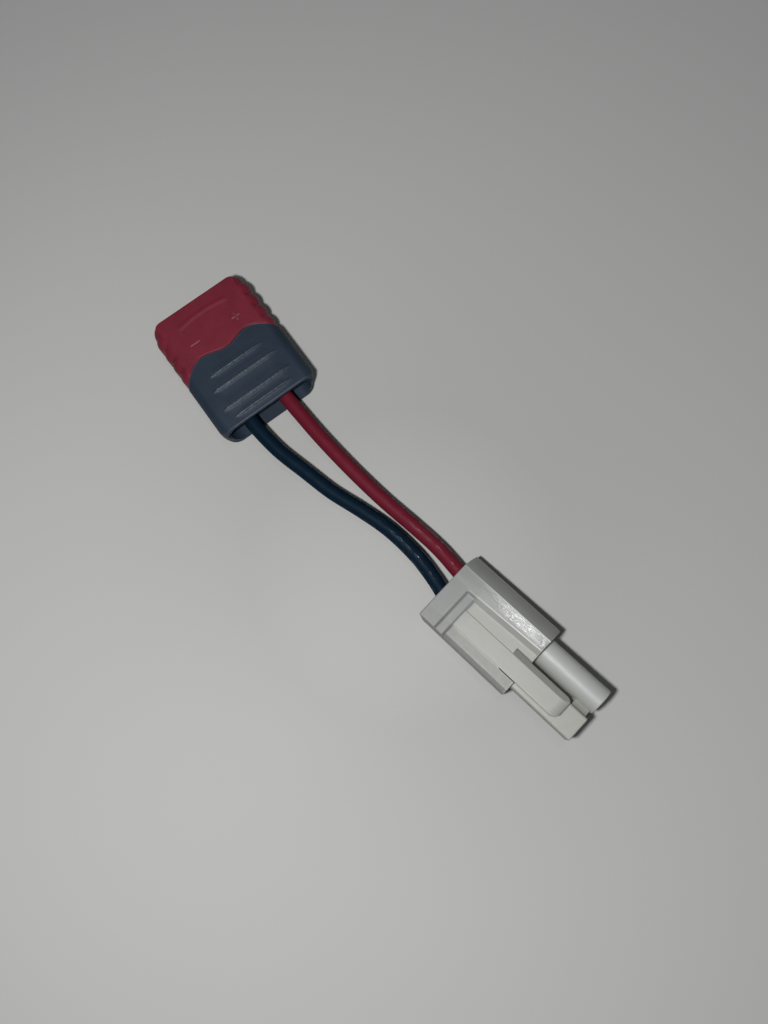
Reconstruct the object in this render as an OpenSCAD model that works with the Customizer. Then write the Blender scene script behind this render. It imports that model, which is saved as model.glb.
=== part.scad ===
// Short battery adapter lead. A capped T plug socket sits at one end and a two-pole
// battery plug with a latch tongue at the other, joined by a red and a black wire.
// The origin lies under the second grip rib of the cap, on the surface the lead rests on.
// +X runs from the T plug to the battery plug, and +Y is the positive (red) side.

/* [T plug] */
// Width over the grip scallops and the cap
shell_w = 20.8; // [20:0.1:24]
// Thickness between the two flat faces
shell_h = 7.05; // [7:0.05:8]
// Length from the mating face to the rear rim of the cap
shell_l = 25.9; // [25.2:0.1:29]
// Corner radius of the cross section
shell_r = 2.2; // [1.8:0.1:2.6]
// Corner radius at the mating end, seen from above
front_corner_r = 2.0; // [1:0.1:2.2]
// Radius of the long edges of the mating face
front_edge_r = 0.4; // [0.3:0.1:1.2]
// Distance between grip scallops
scallop_pitch = 2.7; // [2.4:0.1:2.8]
// Depth of the valleys between the scallops
scallop_depth = 0.45; // [0.3:0.05:0.8]
// Distance from the mating face to the first scallop valley
scallop_start = 2.1; // [1.9:0.1:2.4]
// Height of the shallow arc moulded on both flat faces
crest_rise = 0.1; // [0.06:0.02:0.2]
// Width of that arc
crest_w = 1.0; // [0.5:0.1:1.2]

/* [Seam between housing and cap] */
// Distance from the mating face to the seam at the narrow sides
seam_side_x = 13.6; // [13:0.1:14]
// Distance from the mating face to the front of the two seam lobes
seam_lobe_x = 10.5; // [10:0.1:11]
// Distance from the mating face to the dip between the lobes
seam_dip_x = 11.5; // [11:0.1:12]
// Distance of each lobe from the centre line
seam_lobe_y = 5.0; // [4:0.2:6]
// Gap left along the seam
seam_gap = 0.12; // [0.08:0.02:0.2]

/* [Cap] */
// Wall over the flat faces
cap_wall = 0.75; // [0.65:0.05:0.8]
// Wall at the narrow sides
cap_side_wall = 1.5; // [1.2:0.1:1.7]
// Corner radius at the rear rim, seen from above
cap_corner_r = 3.0; // [2:0.1:4]
// Radius of the long edges of the rear rim
cap_edge_r = 0.25; // [0.2:0.05:0.45]
// Forward lean of the rear rim, between its lower and its upper edge
cap_lean = 0.5; // [0.1:0.1:0.7]
// Clearance between the housing neck and the cap
neck_gap = 0.1; // [0.05:0.05:0.15]
// Distance from the mating face to the end of the neck
neck_end = 16.2; // [15.6:0.1:16.6]
// Height of the grip ribs above the flat faces
rib_rise = 0.35; // [0.2:0.05:0.6]
// Radius of the two long middle ribs
rib_r = 1.1; // [0.8:0.1:1.4]
// Radius of the two shorter outer ribs
rib_small_r = 0.6; // [0.5:0.05:0.8]
// Length of the pointed ends of the ribs
rib_taper = 1.8; // [1:0.1:2.5]
// Distance of the last rib from the rear rim, and of the third rib from the last
rib_back = 2.2; // [1.8:0.1:2.6]

/* [Contacts] */
// Thickness of the contact strips
contact_t = 0.8; // [0.6:0.1:1]
// Width of the contact strips
contact_w = 4.4; // [4:0.1:4.5]
// Width of the solder tabs
tab_w = 3.0; // [2.4:0.1:3.2]
// Distance of the solder tabs' ends from the mating face
tab_end = 21.2; // [20.6:0.1:21.6]
// Space for the mating blade and its spring
blade_room = 1.2; // [1:0.05:1.4]
// Thickness of the leaf springs
spring_t = 0.2; // [0.15:0.05:0.3]
// Clearance round a contact in its pocket
contact_gap = 0.05; // [0.03:0.01:0.1]

/* [Wires] */
// Outer diameter of the wire insulation
wire_d = 2.8; // [2.4:0.1:3]
// Diameter of the tinned strands
strand_d = 1.6; // [1.2:0.1:1.8]
// Distance from the mating face to the end of the insulation in the cap
strip_x = 21.8; // [21.6:0.1:22.4]

/* [Battery plug] */
// Distance between the two poles
pole_pitch = 6.2; // [6:0.1:6.6]
// Outer diameter of the round tube
round_d = 5.1; // [4.8:0.05:5.2]
// Side of the square tube
square_w = 4.9; // [4.7:0.05:5.1]
// Length of the body behind the tubes
body_l = 19.5; // [19.4:0.1:23]
// Length of the tubes in front of the body
tube_l = 12.8; // [12.5:0.1:14]
// Distance from the poles to the flat side of the body
body_left = 7.3; // [7:0.1:8]
// Distance from the poles to the bevelled side of the body
body_right = 7.5; // [7.2:0.1:8]
// Width of the bevel over the round pole, seen from above
bevel_top = 3.1; // [2.6:0.1:3.2]
// Width of the bevel under the round pole
bevel_low = 2.2; // [2:0.1:2.6]
// Height of the body above the poles
body_up = 4.9; // [4.8:0.1:5.6]
// Depth of the body below the poles
body_down = 4.1; // [3.9:0.1:4.6]
// Depth of the recess that the latch tongue lies in
recess_depth = 0.9; // [0.6:0.05:1]
// Width of the latch tongue
tongue_w = 3.3; // [2.8:0.1:3.6]
// Width of the sloped flank on the tongue's right side
tongue_flank = 1.0; // [0.4:0.1:1.1]
// Thickness of the latch tongue
tongue_t = 1.15; // [0.9:0.05:1.2]
// Distance from the rear of the body to the tip of the tongue
tongue_end = 28.5; // [28:0.1:30.5]
// Length of the free part of the tongue
tongue_free = 12.4; // [12:0.1:14]
// Radius of the wire channels
channel_r = 2.45; // [2.3:0.05:2.5]
// Inner radius of the rolled sockets
socket_r = 1.05; // [0.95:0.05:1.1]
// Sheet thickness of the sockets
socket_t = 0.4; // [0.3:0.05:0.45]
// Clearance between a socket and its bore
socket_gap = 0.12; // [0.08:0.02:0.16]

/* [Placement of the battery plug] */
// Distance from the mating face of the T plug to the rear of the battery plug
plug_ahead = 71.5; // [68:0.5:74]
// Sideways offset of the battery plug
plug_aside = 6.7; // [6.1:0.05:7.5]
// Turn of the battery plug to the left
plug_yaw = 10.1; // [6:0.1:12]
// Rise of its nose, held up by the stiff wires
plug_pitch = 7; // [5:0.5:9]

/* [Hidden] */

$fn = 64;
eps = 0.01;
cut = 2;

red_nylon = [0.72, 0.13, 0.19];
slate = [0.24, 0.29, 0.35];
gold = [0.83, 0.66, 0.30];
steel = [0.72, 0.73, 0.75];
tin = [0.75, 0.76, 0.78];
red_rubber = [0.70, 0.06, 0.12];
black_rubber = [0.05, 0.07, 0.10];
natural_nylon = [0.86, 0.87, 0.84];

// Grip ribs of the cap: distance from the mating face, half length and radius
ribs = [[14.7, 5.9, rib_small_r], [17.5, 7.0, rib_r], [shell_l - 2 * rib_back, 7.5, rib_r],
        [shell_l - rib_back, 6.3, rib_small_r]];
rib_crest = rib_rise + 0.06;
shell_front = -ribs[1][0];
shell_mid_z = rib_rise + shell_h / 2;
shell_top = rib_rise + shell_h;

// Scallops: circular bumps that meet in sharp valleys and wrap round the long edges
scallop_count = 5;
scallop_r = (pow(scallop_pitch / 2, 2) + pow(scallop_depth, 2)) / (2 * scallop_depth);
scallop_inset = 0.04;
scallop_lap = 0.3;
scallop_sink = 0.05;
flat_y = shell_w / 2 - shell_r;
crest_r = 26;
crest_x = 2.9;
crest_span = 13;

// Neck of the housing and the space in the cap that takes it
cavity_w = shell_w - 2 * cap_side_wall;
cavity_h = shell_h - 2 * cap_wall;
cavity_r = 0.47 * cavity_h;
neck_w = cavity_w - 2 * neck_gap;
neck_h = cavity_h - 2 * neck_gap;

// The positive strip stands on edge and the negative strip lies flat, as in a letter T
contact_front = 1.0;
wall_front = 14.2;
red_core_y = 3.55;
black_core_y = -4.35;
positive_y = red_core_y + strand_d / 2;
negative_z = shell_mid_z - strand_d / 2 + 0.25;
spring_front = 2.4;
spring_back = 12.6;
spring_bow = 0.45;
spring_margin = 0.5;
slot_step = 0.25;
solder_l = 3.0;
solder_r = 1.3;
solder_ball = 1;
solder_rise = 0.35;
strand_lap = 3.6;
strand_front = tab_end - strand_lap;

// Pole positions across the battery plug
round_v = pole_pitch / 2;
square_v = -pole_pitch / 2;
plug_l = body_l + tube_l;

// Body outline of the battery plug
bevel_top_v = body_right - bevel_top;
bevel_low_v = body_right - bevel_low;
bevel_z = 0.8;
flank_r = 1;
edge_r = 0.45;
recess_start = 3.4;
recess_step_end = 5.35;
recess_step_depth = recess_depth / 2;
recess_wall_v = 2.1;
recess_turn = 2.3;
recess_floor = body_up - recess_depth;
left_chamfer = 0.7;
tongue_rise = 0.12;
tongue_top = recess_floor + tongue_rise;
tongue_low = tongue_top - tongue_t;
tongue_shift = 0.1;
tongue_v = square_v + tongue_shift;
tongue_root = tongue_end - tongue_free;
tongue_slot = 0.15;
tongue_side_slot = 0.3;
tongue_tip_r = 1.5;
tongue_ramp = 1.6;
tongue_ramp_drop = 0.55;
hook_l = 1.8;
hook_gap = 0.2;
web_low = -1.2;
web_top = -0.2;
tube_chamfer = 0.25;

// Wire channels, crimps and sockets, as distances from the rear of the body
funnel_l = 2.5;
channel_l = 14.4;
plug_strip_u = 10.6;
clamp_u = [8.0, 10.2];
crimp_u = [11.4, 13.6];
strand_end = 13.9;
lip_l = 0.6;
barrel_play = 0.1;
barrel_u = [15.0, plug_l - lip_l - barrel_play];
lance_u = [17.4, 19.0];
lance_room = [17.2, 20.4];
lance_rise = 0.4;
bore_r = socket_r + socket_t + socket_gap;
lip_r = socket_r + 0.3;
slit = 0.35;
clamp_gap = 0.8;
crimp_gap = 0.3;
wing_t = socket_t / 2;
strap_w = 1.2;
strap_t = 0.4 * socket_t;
strap_lap = 0.4;
lance_w = 0.8;
lance_root = 0.1;
lance_foot = 0.05;

plug_x = shell_front + plug_ahead;
plug_z = body_down * cos(plug_pitch);

// Free route of each wire: points chosen along its centre line
red_free = [[11.2, 3.85, 3.8], [18.2, 4.4, 3.7], [26.2, 5.4, 3.6], [34.2, 6.75, 3.55],
            [41.2, 8.3, 3.6], [47.7, 9.5, 3.8]];
black_free = [[9.7, -4.2, 4.0], [15.2, -3.4, 3.8], [21.2, -1.75, 3.65], [27.2, -0.05, 3.55],
              [33.2, 2.3, 3.55], [39.2, 4.3, 3.6], [45.7, 5.4, 3.7], [51.2, 5.5, 3.9]];
straight_out = 1.5;
straight_in = [1.5, 4];
squeeze_in = [1.2, 0.15];

// Point of the battery plug in the frame of the whole lead
function plug_point(u, v, w) =
    let (ahead = u * cos(plug_pitch) - w * sin(plug_pitch))
    [plug_x + ahead * cos(plug_yaw) - v * sin(plug_yaw),
     plug_aside + ahead * sin(plug_yaw) + v * cos(plug_yaw),
     plug_z + u * sin(plug_pitch) + w * cos(plug_pitch)];

red_route = concat(
    [[shell_front + strip_x, red_core_y, shell_mid_z],
     [shell_front + strip_x + straight_out, red_core_y, shell_mid_z]],
    red_free,
    [plug_point(straight_in[0], round_v, 0),
     plug_point(plug_strip_u - straight_in[1], round_v, 0),
     plug_point(plug_strip_u - straight_in[0], round_v, 0), plug_point(plug_strip_u, round_v, 0)]);

black_route = concat(
    [[shell_front + strip_x, black_core_y, negative_z + strand_d / 2],
     [shell_front + strip_x + straight_out, black_core_y, negative_z + strand_d / 2]],
    black_free,
    [plug_point(straight_in[0], square_v + squeeze_in[0], 0),
     plug_point(plug_strip_u - straight_in[1], square_v + squeeze_in[1], 0),
     plug_point(plug_strip_u - straight_in[0], square_v, 0), plug_point(plug_strip_u, square_v, 0)]);

// Seam line: its distance from the mating face at each distance from the centre line
function seam(y) =
    let (a = abs(y))
    a < seam_lobe_y
    ? seam_lobe_x + (seam_dip_x - seam_lobe_x) * (1 + cos(180 * a / seam_lobe_y)) / 2
    : seam_lobe_x + (seam_side_x - seam_lobe_x)
        * (1 - cos(120 * min(1, (a - seam_lobe_y) / (shell_w / 2 - seam_lobe_y)))) / 1.5;

// Smooth curve through a list of points, with a few samples in each stretch
function curve_point(p, i, t) =
    let (n = len(p) - 1, a = p[max(i - 1, 0)], b = p[i], c = p[i + 1], d = p[min(i + 2, n)])
    0.5 * (2 * b + t * (c - a) + t * t * (2 * a - 5 * b + 4 * c - d)
        + t * t * t * (3 * b - a - 3 * c + d));
function curve(p, steps) =
    [for (i = [0:len(p) - 2]) for (k = [0:steps - 1]) curve_point(p, i, k / steps),
     p[len(p) - 1]];

// Ring of points across the wire at point i of its curve
function ring(c, i, r, sides) =
    let (n = len(c) - 1,
         along = c[min(i + 1, n)] - c[max(i - 1, 0)],
         t = along / norm(along),
         side = cross([0, 0, 1], t),
         s = side / norm(side),
         up = cross(t, s))
    [for (k = [0:sides - 1]) c[i] + r * (cos(360 * (k + 0.5) / sides) * s
        + sin(360 * (k + 0.5) / sides) * up)];

// Corner of an outline, rounded with an arc of radius r
function corner(a, b, c, r) =
    let (u = (a - b) / norm(a - b),
         v = (c - b) / norm(c - b),
         half = acos(u * v) / 2,
         centre = b + (u + v) / norm(u + v) * r / sin(half),
         from = b + u * r / tan(half) - centre,
         to = b + v * r / tan(half) - centre,
         start = atan2(from[1], from[0]),
         turn = atan2(from[0] * to[1] - from[1] * to[0], from * to))
    [for (k = [0:6]) centre + r * [cos(start + turn * k / 6), sin(start + turn * k / 6)]];
function rounded(points, radii) =
    let (n = len(points))
    [for (i = [0:n - 1]) each radii[i] == 0
        ? [points[i]]
        : corner(points[(i + n - 1) % n], points[i], points[(i + 1) % n], radii[i])];

// Rectangle with round corners, centred on the origin
module round_rect(w, h, r) {
    square([w - 2 * r, h], center = true);
    square([w, h - 2 * r], center = true);
    for (x = [-1, 1], y = [-1, 1])
        translate([x * (w / 2 - r), y * (h / 2 - r)]) circle(r);
}

// Bar along X with a round-cornered section, from x0 to x1 as distances from the mating face
module bar(x0, x1, w, h, r) {
    translate([shell_front + x0, 0, shell_mid_z])
        rotate([90, 0, 90])
            linear_extrude(x1 - x0)
                round_rect(w, h, r);
}

// Region ahead of the seam, moved back by d
module ahead_of_seam(d) {
    n = 48;
    half = shell_w / 2;
    translate([shell_front, 0, rib_rise - cut])
        linear_extrude(shell_h + 2 * cut)
            polygon(concat(
                [[-cut, half + cut], [-cut, -half - cut], [seam_side_x + d, -half - cut]],
                [for (k = [0:n]) let (y = half * (2 * k / n - 1)) [seam(y) + d, y]],
                [[seam_side_x + d, half + cut]]));
}

// Front end of the housing seen from above
module housing_plan() {
    translate([shell_l / 2, 0])
        round_rect(shell_l, shell_w - 2 * scallop_depth, front_corner_r);
    translate([scallop_start - eps, -shell_w / 2]) square([shell_l, shell_w]);
}

// Side view of the housing: the long edges of the mating face are rounded
module housing_side() {
    translate([shell_l / 2, 0]) round_rect(shell_l, shell_h, front_edge_r);
}

// Section of the housing between the scallops: full height over the flats, drawn in at the sides
module grip_core() {
    sunk = scallop_depth + scallop_sink;
    translate([shell_front + scallop_start, 0, shell_mid_z])
        rotate([90, 0, 90])
            linear_extrude(seam_side_x - scallop_start) {
                square([2 * flat_y, shell_h], center = true);
                round_rect(shell_w - 2 * sunk, shell_h - 2 * sunk, shell_r - sunk);
            }
}

// Cut through one scallop: distance from the long edge's centre line, then place along X
module scallop_profile() {
    intersection() {
        translate([shell_r - scallop_inset - scallop_r, 0]) circle(scallop_r);
        translate([shell_r - scallop_depth - scallop_lap, -scallop_pitch])
            square([2 * scallop_depth + scallop_lap, 2 * scallop_pitch]);
    }
}

// Lower half of one scallop on the positive side: upright to mid height, then round the edge
module half_scallop() {
    translate([0, 0, rib_rise + shell_r])
        linear_extrude(shell_mid_z - rib_rise - shell_r + eps)
            rotate(90) scallop_profile();
    translate([0, 0, rib_rise + shell_r])
        rotate([0, 90, 0]) rotate_extrude(angle = 90) scallop_profile();
}

module scallops() {
    for (i = [0:scallop_count - 1], side = [0, 1])
        mirror([0, side, 0])
            translate([shell_front + scallop_start + (i + 0.5) * scallop_pitch, flat_y, 0]) {
                half_scallop();
                mirror_flat() half_scallop();
            }
}

// Shallow arc moulded on a flat face, from z0 upwards
module crest(z0) {
    translate([shell_front + crest_x + crest_r, 0, z0])
        linear_extrude(crest_rise + 0.3)
            intersection() {
                difference() {
                    circle(crest_r + crest_w / 2, $fn = 180);
                    circle(crest_r - crest_w / 2, $fn = 180);
                }
                polygon([[0, 0],
                         2 * crest_r * [-cos(crest_span), sin(crest_span)],
                         2 * crest_r * [-cos(crest_span), -sin(crest_span)]]);
            }
}

// Pocket of a contact: its mouth, its room for the blade and its passage to the rear.
// The strip lies with its inner face on y = 0 and the blade goes on the side of -y.
module contact_pocket() {
    room = blade_room + spring_t;
    translate([-cut, -room, -contact_w / 2 - contact_gap])
        cube([wall_front + cut, room + contact_t + contact_gap, contact_w + 2 * contact_gap]);
    translate([-cut, -room - slot_step, -contact_w / 2 - contact_gap - slot_step])
        cube([cut + slot_step, room + contact_t + 2 * slot_step,
              contact_w + 2 * contact_gap + 2 * slot_step]);
    translate([0, -contact_gap, -contact_w / 2 - contact_gap])
        cube([neck_end + cut, contact_t + 2 * contact_gap, contact_w + 2 * contact_gap]);
}

// Places of the two poles: the strip's inner face, turned upright or flat
module at_positive() {
    translate([shell_front, positive_y, shell_mid_z]) children();
}
module at_negative() {
    translate([shell_front, black_core_y, negative_z]) rotate([-90, 0, 0]) children();
}

module t_housing() {
    color(red_nylon)
    difference() {
        union() {
            intersection() {
                union() {
                    bar(0, scallop_start, shell_w - 2 * scallop_depth, shell_h,
                        shell_r - scallop_depth);
                    grip_core();
                    scallops();
                }
                translate([shell_front, 0, rib_rise - cut])
                    linear_extrude(shell_h + 2 * cut) housing_plan();
                translate([shell_front, shell_w, shell_mid_z])
                    rotate([90, 0, 0]) linear_extrude(2 * shell_w) housing_side();
                ahead_of_seam(-seam_gap);
            }
            bar(seam_lobe_x - 1, neck_end, neck_w, neck_h, cavity_r - neck_gap);
            crest(shell_top - 0.3);
            mirror_flat() crest(shell_top - 0.3);
        }
        at_positive() contact_pocket();
        at_negative() contact_pocket();
    }
}

// Copy on the underside of what lies on the top face
module mirror_flat() {
    translate([0, 0, 2 * shell_mid_z]) mirror([0, 0, 1]) children();
}

// One grip rib: a bar with tapered ends, sunk into the face and cut flat along its crest
module grip_rib(x, half, r) {
    straight = half - rib_taper;
    translate([shell_front + x, 0, shell_top + rib_crest - r]) {
        rotate([90, 0, 0]) cylinder(r = r, h = 2 * straight + 2 * eps, center = true);
        for (s = [-1, 1])
            translate([0, s * straight, 0])
                rotate([-s * 90, 0, 0])
                    cylinder(r1 = r, r2 = r - rib_crest, h = rib_taper);
    }
}

module ribs_on_top() {
    intersection() {
        union() for (r = ribs) grip_rib(r[0], r[1], r[2]);
        translate([shell_front, -shell_w / 2, shell_top - cap_wall / 2])
            cube([shell_l, shell_w, cap_wall / 2 + rib_rise]);
    }
}

// Side view of the cap: the rear rim leans forward and its long edges are rounded
module cap_side() {
    polygon(rounded([[0, 0], [shell_l, 0], [shell_l - cap_lean, shell_h], [0, shell_h]],
                    [0, cap_edge_r, cap_edge_r, 0]));
}

module rear_cap() {
    color(slate)
    difference() {
        union() {
            difference() {
                intersection() {
                    bar(seam_lobe_x, shell_l, shell_w, shell_h, shell_r);
                    translate([shell_front + shell_l / 2, 0, rib_rise - cut])
                        linear_extrude(shell_h + 2 * cut)
                            round_rect(shell_l, shell_w, cap_corner_r);
                    translate([shell_front, shell_w, rib_rise])
                        rotate([90, 0, 0]) linear_extrude(2 * shell_w) cap_side();
                }
                ahead_of_seam(0);
            }
            ribs_on_top();
            mirror_flat() ribs_on_top();
        }
        bar(seam_lobe_x - cut, shell_l + cut, cavity_w, cavity_h, cavity_r);
    }
}

// Contact strip with its narrower solder tab
module contact() {
    translate([contact_front, 0, -contact_w / 2])
        cube([neck_end - contact_front, contact_t, contact_w]);
    translate([neck_end - eps, 0, -tab_w / 2])
        cube([tab_end - neck_end + eps, contact_t, tab_w]);
}

// Leaf spring bowed towards the blade, with its back on the pocket wall
module leaf_spring() {
    span = spring_back - spring_front;
    r = (pow(span / 2, 2) + pow(spring_bow, 2)) / (2 * spring_bow);
    back = -blade_room - spring_t;
    translate([(spring_front + spring_back) / 2, back + spring_bow + spring_t - r, 0])
        linear_extrude(contact_w - 2 * spring_margin, center = true)
            intersection() {
                difference() {
                    circle(r, $fn = 180);
                    circle(r - spring_t, $fn = 180);
                }
                translate([-span / 2, r - spring_bow - spring_t]) square([span, cut]);
            }
}

// Solder round the strands on a tab: a capsule cut off at the tab's face
module solder() {
    mid = strand_front + solder_l / 2;
    difference() {
        intersection() {
            translate([mid, -solder_rise, 0]) {
                rotate([0, 90, 0])
                    cylinder(r = solder_r, h = solder_l - 2 * solder_ball, center = true);
                for (s = [-1, 1])
                    translate([s * (solder_l / 2 - solder_ball), 0, 0]) sphere(solder_r);
            }
            translate([mid - solder_l, -2 * solder_r, -solder_r])
                cube([2 * solder_l, 2 * solder_r, 2 * solder_r]);
        }
        strands();
    }
}

// Tinned strands lying on a tab
module strands() {
    translate([strand_front, -strand_d / 2, 0])
        rotate([0, 90, 0]) cylinder(d = strand_d, h = strip_x - strand_front, $fn = 32);
}

module contact_positive() {
    color(gold) at_positive() contact();
}

module contact_negative() {
    color(gold) at_negative() contact();
}

module spring_positive() {
    color(steel) at_positive() leaf_spring();
}

module spring_negative() {
    color(steel) at_negative() leaf_spring();
}

module solder_positive() {
    color(tin) at_positive() solder();
}

module solder_negative() {
    color(tin) at_negative() solder();
}

module red_strands_t() {
    color(tin) at_positive() strands();
}

module black_strands_t() {
    color(tin) at_negative() strands();
}

// Wire: one closed tube swept along its route
module wire(route) {
    sides = 8;
    c = curve(route, 2);
    n = len(c);
    points = [for (i = [0:n - 1]) each ring(c, i, wire_d / 2, sides)];
    walls = [for (i = [0:n - 2], k = [0:sides - 1])
        let (a = i * sides + k, b = i * sides + (k + 1) % sides)
        each [[a, a + sides, b + sides], [a, b + sides, b]]];
    ends = [[for (k = [0:sides - 1]) k],
            [for (k = [0:sides - 1]) n * sides - 1 - k]];
    polyhedron(points, concat(walls, ends));
}

module red_wire() {
    color(red_rubber) wire(red_route);
}

module black_wire() {
    color(black_rubber) wire(black_route);
}

// Frame of the battery plug: u along its axis, v across it and w up, with the poles at w = 0
module in_plug() {
    translate([plug_x, plug_aside, plug_z]) rotate([0, -plug_pitch, plug_yaw]) children();
}

// Bar along the plug's axis from u0 to u1, with a given outline across it
module along(u0, u1) {
    translate([u0, 0, 0]) rotate([90, 0, 90]) linear_extrude(u1 - u0) children();
}

// Body outline across the axis: flat on the square pole's side, bevelled on the round one's
module body_outline() {
    polygon(rounded(
        [[-body_left, -body_down], [bevel_low_v, -body_down], [body_right, -bevel_z],
         [body_right, bevel_z], [bevel_top_v, body_up], [-body_left, body_up]],
        [edge_r, edge_r, flank_r, flank_r, edge_r, edge_r]));
}

// Recess in the top of the body, open to the front and to the flat side. Its sloped wall
// draws in towards the rear by a small angle.
module recess() {
    mid = recess_wall_v - 2 * recess_depth;
    intersection() {
        union() {
            along(recess_start, body_l + cut)
                polygon([[-body_left - cut, recess_floor - left_chamfer - cut],
                         [-body_left, recess_floor - left_chamfer],
                         [-body_left + left_chamfer, recess_floor],
                         [mid, recess_floor],
                         [mid, body_up + cut],
                         [-body_left - cut, body_up + cut]]);
            intersection() {
                translate([body_l, recess_wall_v, recess_floor])
                    rotate([0, 0, recess_turn])
                        along(-body_l, 2 * cut)
                            polygon([[-4 * recess_depth, 0], [-recess_depth, 0],
                                     [0, recess_depth], [0, recess_depth + cut],
                                     [-4 * recess_depth, recess_depth + cut]]);
                along(recess_start, body_l + cut)
                    translate([mid - recess_depth, recess_floor])
                        square([body_right, 2 * cut]);
            }
        }
        translate([0, body_right, 0])
            rotate([90, 0, 0])
                linear_extrude(body_right + body_left + cut)
                    polygon([[recess_start, body_up + cut],
                             [recess_start, body_up - recess_step_depth],
                             [recess_step_end, body_up - recess_step_depth],
                             [recess_step_end, recess_floor - left_chamfer - cut],
                             [body_l + cut, recess_floor - left_chamfer - cut],
                             [body_l + cut, body_up + cut]]);
    }
}

// Latch tongue: a strip with one sloped flank, a lead-in ramp and a hook under its tip
module tongue() {
    v0 = tongue_v - tongue_w / 2;
    v1 = v0 + tongue_w;
    intersection() {
        linear_extrude(body_up)
            polygon(rounded(
                [[recess_step_end, v0], [tongue_end, v0],
                 [tongue_end, v1 + tongue_flank], [recess_step_end, v1 + tongue_flank]],
                [0, tongue_tip_r, tongue_flank, 0]));
        along(recess_step_end, tongue_end)
            polygon([[v0, 0], [v1 + tongue_flank, 0], [v1 + tongue_flank, tongue_low],
                     [v1, tongue_top], [v0, tongue_top]]);
        translate([0, body_right, 0])
            rotate([90, 0, 0])
                linear_extrude(body_right + body_left)
                    polygon([[0, tongue_low], [tongue_end - hook_l, tongue_low],
                             [tongue_end - hook_l, square_w / 2 + hook_gap],
                             [tongue_end - hook_l / 2, square_w / 2 + hook_gap],
                             [tongue_end, tongue_low],
                             [tongue_end, tongue_top - tongue_ramp_drop],
                             [tongue_end - tongue_ramp, tongue_top], [0, tongue_top]]);
    }
}

// Space that frees the tongue from the body: under it and on both its sides
module tongue_space() {
    v0 = tongue_v - tongue_w / 2 - tongue_side_slot;
    wide = tongue_side_slot + tongue_w + tongue_flank + tongue_slot;
    translate([tongue_root, v0, square_w / 2]) cube([body_l - tongue_root + cut, wide, cut + body_up]);
}

// Round tube, square tube and the web that ties them
module tubes() {
    translate([body_l - 1, round_v, 0])
        rotate([0, 90, 0]) cylinder(d = round_d, h = tube_l + 1 - tube_chamfer);
    translate([plug_l - tube_chamfer - eps, round_v, 0])
        rotate([0, 90, 0])
            cylinder(d1 = round_d, d2 = round_d - 2 * tube_chamfer, h = tube_chamfer + eps);
    intersection() {
        along(body_l - 1, plug_l)
            translate([square_v, 0]) round_rect(square_w, square_w, edge_r);
        translate([0, square_v, -square_w])
            linear_extrude(2 * square_w)
                polygon([[0, -square_w], [0, square_w], [plug_l - tube_chamfer, square_w / 2],
                         [plug_l, square_w / 2 - tube_chamfer],
                         [plug_l, -square_w / 2 + tube_chamfer],
                         [plug_l - tube_chamfer, -square_w / 2]]);
    }
    translate([body_l - 1, square_v, web_low])
        cube([tube_l + 1 - 2 * tube_chamfer, pole_pitch, web_top - web_low]);
}

// Bore of one pole, from the wire channel to the lip that stops the socket
module pole_bore(v) {
    translate([0, v, 0]) rotate([0, 90, 0]) {
        translate([0, 0, -cut]) cylinder(r = channel_r, h = channel_l + cut);
        translate([0, 0, channel_l - eps]) cylinder(r = bore_r, h = plug_l - channel_l - lip_l);
        translate([0, 0, lance_room[0]])
            cylinder(r = bore_r + lance_rise, h = lance_room[1] - lance_room[0]);
        cylinder(r = lip_r, h = plug_l + cut);
    }
}

module plug_housing() {
    color(natural_nylon)
    in_plug()
    difference() {
        union() {
            difference() {
                along(0, body_l) body_outline();
                recess();
                tongue_space();
            }
            tongue();
            tubes();
        }
        for (v = [round_v, square_v]) pole_bore(v);
        along(-cut, funnel_l)
            round_rect(pole_pitch + 2 * channel_r, 2 * channel_r, channel_r - eps);
    }
}

// Rolled sheet barrel along the axis, open along its top
module barrel(u0, u1, r, t, gap) {
    difference() {
        translate([u0, 0, 0]) rotate([0, 90, 0]) cylinder(r = r + t, h = u1 - u0);
        translate([u0 - cut, 0, 0]) rotate([0, 90, 0]) cylinder(r = r, h = u1 - u0 + 2 * cut);
        translate([u0 - cut, -gap / 2, 0]) cube([u1 - u0 + 2 * cut, gap, r + t + cut]);
    }
}

// One strap of the socket's floor, from radius r0 at u0 to radius r1 at u1
module strap(u0, u1, r0, r1) {
    half = strap_t / 2;
    translate([u0, strap_w / 2, 0])
        rotate([90, 0, 0])
            linear_extrude(strap_w)
                polygon([[0, -r0 - half], [u1 - u0, -r1 - half],
                         [u1 - u0, -r1 + half], [0, -r0 + half]]);
}

// Rolled socket: clamp on the insulation, crimp on the strands, barrel for the pin, lances
module socket() {
    clamp_r = wire_d / 2;
    crimp_r = strand_d / 2;
    barrel(clamp_u[0], clamp_u[1], clamp_r, wing_t, clamp_gap);
    barrel(crimp_u[0], crimp_u[1], crimp_r, wing_t, crimp_gap);
    barrel(barrel_u[0], barrel_u[1], socket_r, socket_t, slit);
    strap(clamp_u[1] - strap_lap, crimp_u[0] + strap_lap,
          clamp_r + wing_t / 2, crimp_r + wing_t / 2);
    strap(crimp_u[1] - strap_lap, barrel_u[0] + strap_lap,
          crimp_r + wing_t / 2, socket_r + socket_t / 2);
    for (s = [-1, 1])
        mirror([0, s > 0 ? 0 : 1, 0])
            linear_extrude(lance_w, center = true)
                polygon([[lance_u[0], socket_r + lance_root],
                         [lance_u[0], socket_r + socket_t + lance_rise],
                         [lance_u[1], socket_r + socket_t - lance_foot],
                         [lance_u[1], socket_r + lance_root]]);
}

// Tinned strands in the crimp
module plug_strands() {
    translate([plug_strip_u, 0, 0])
        rotate([0, 90, 0]) cylinder(d = strand_d, h = strand_end - plug_strip_u, $fn = 32);
}

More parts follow.
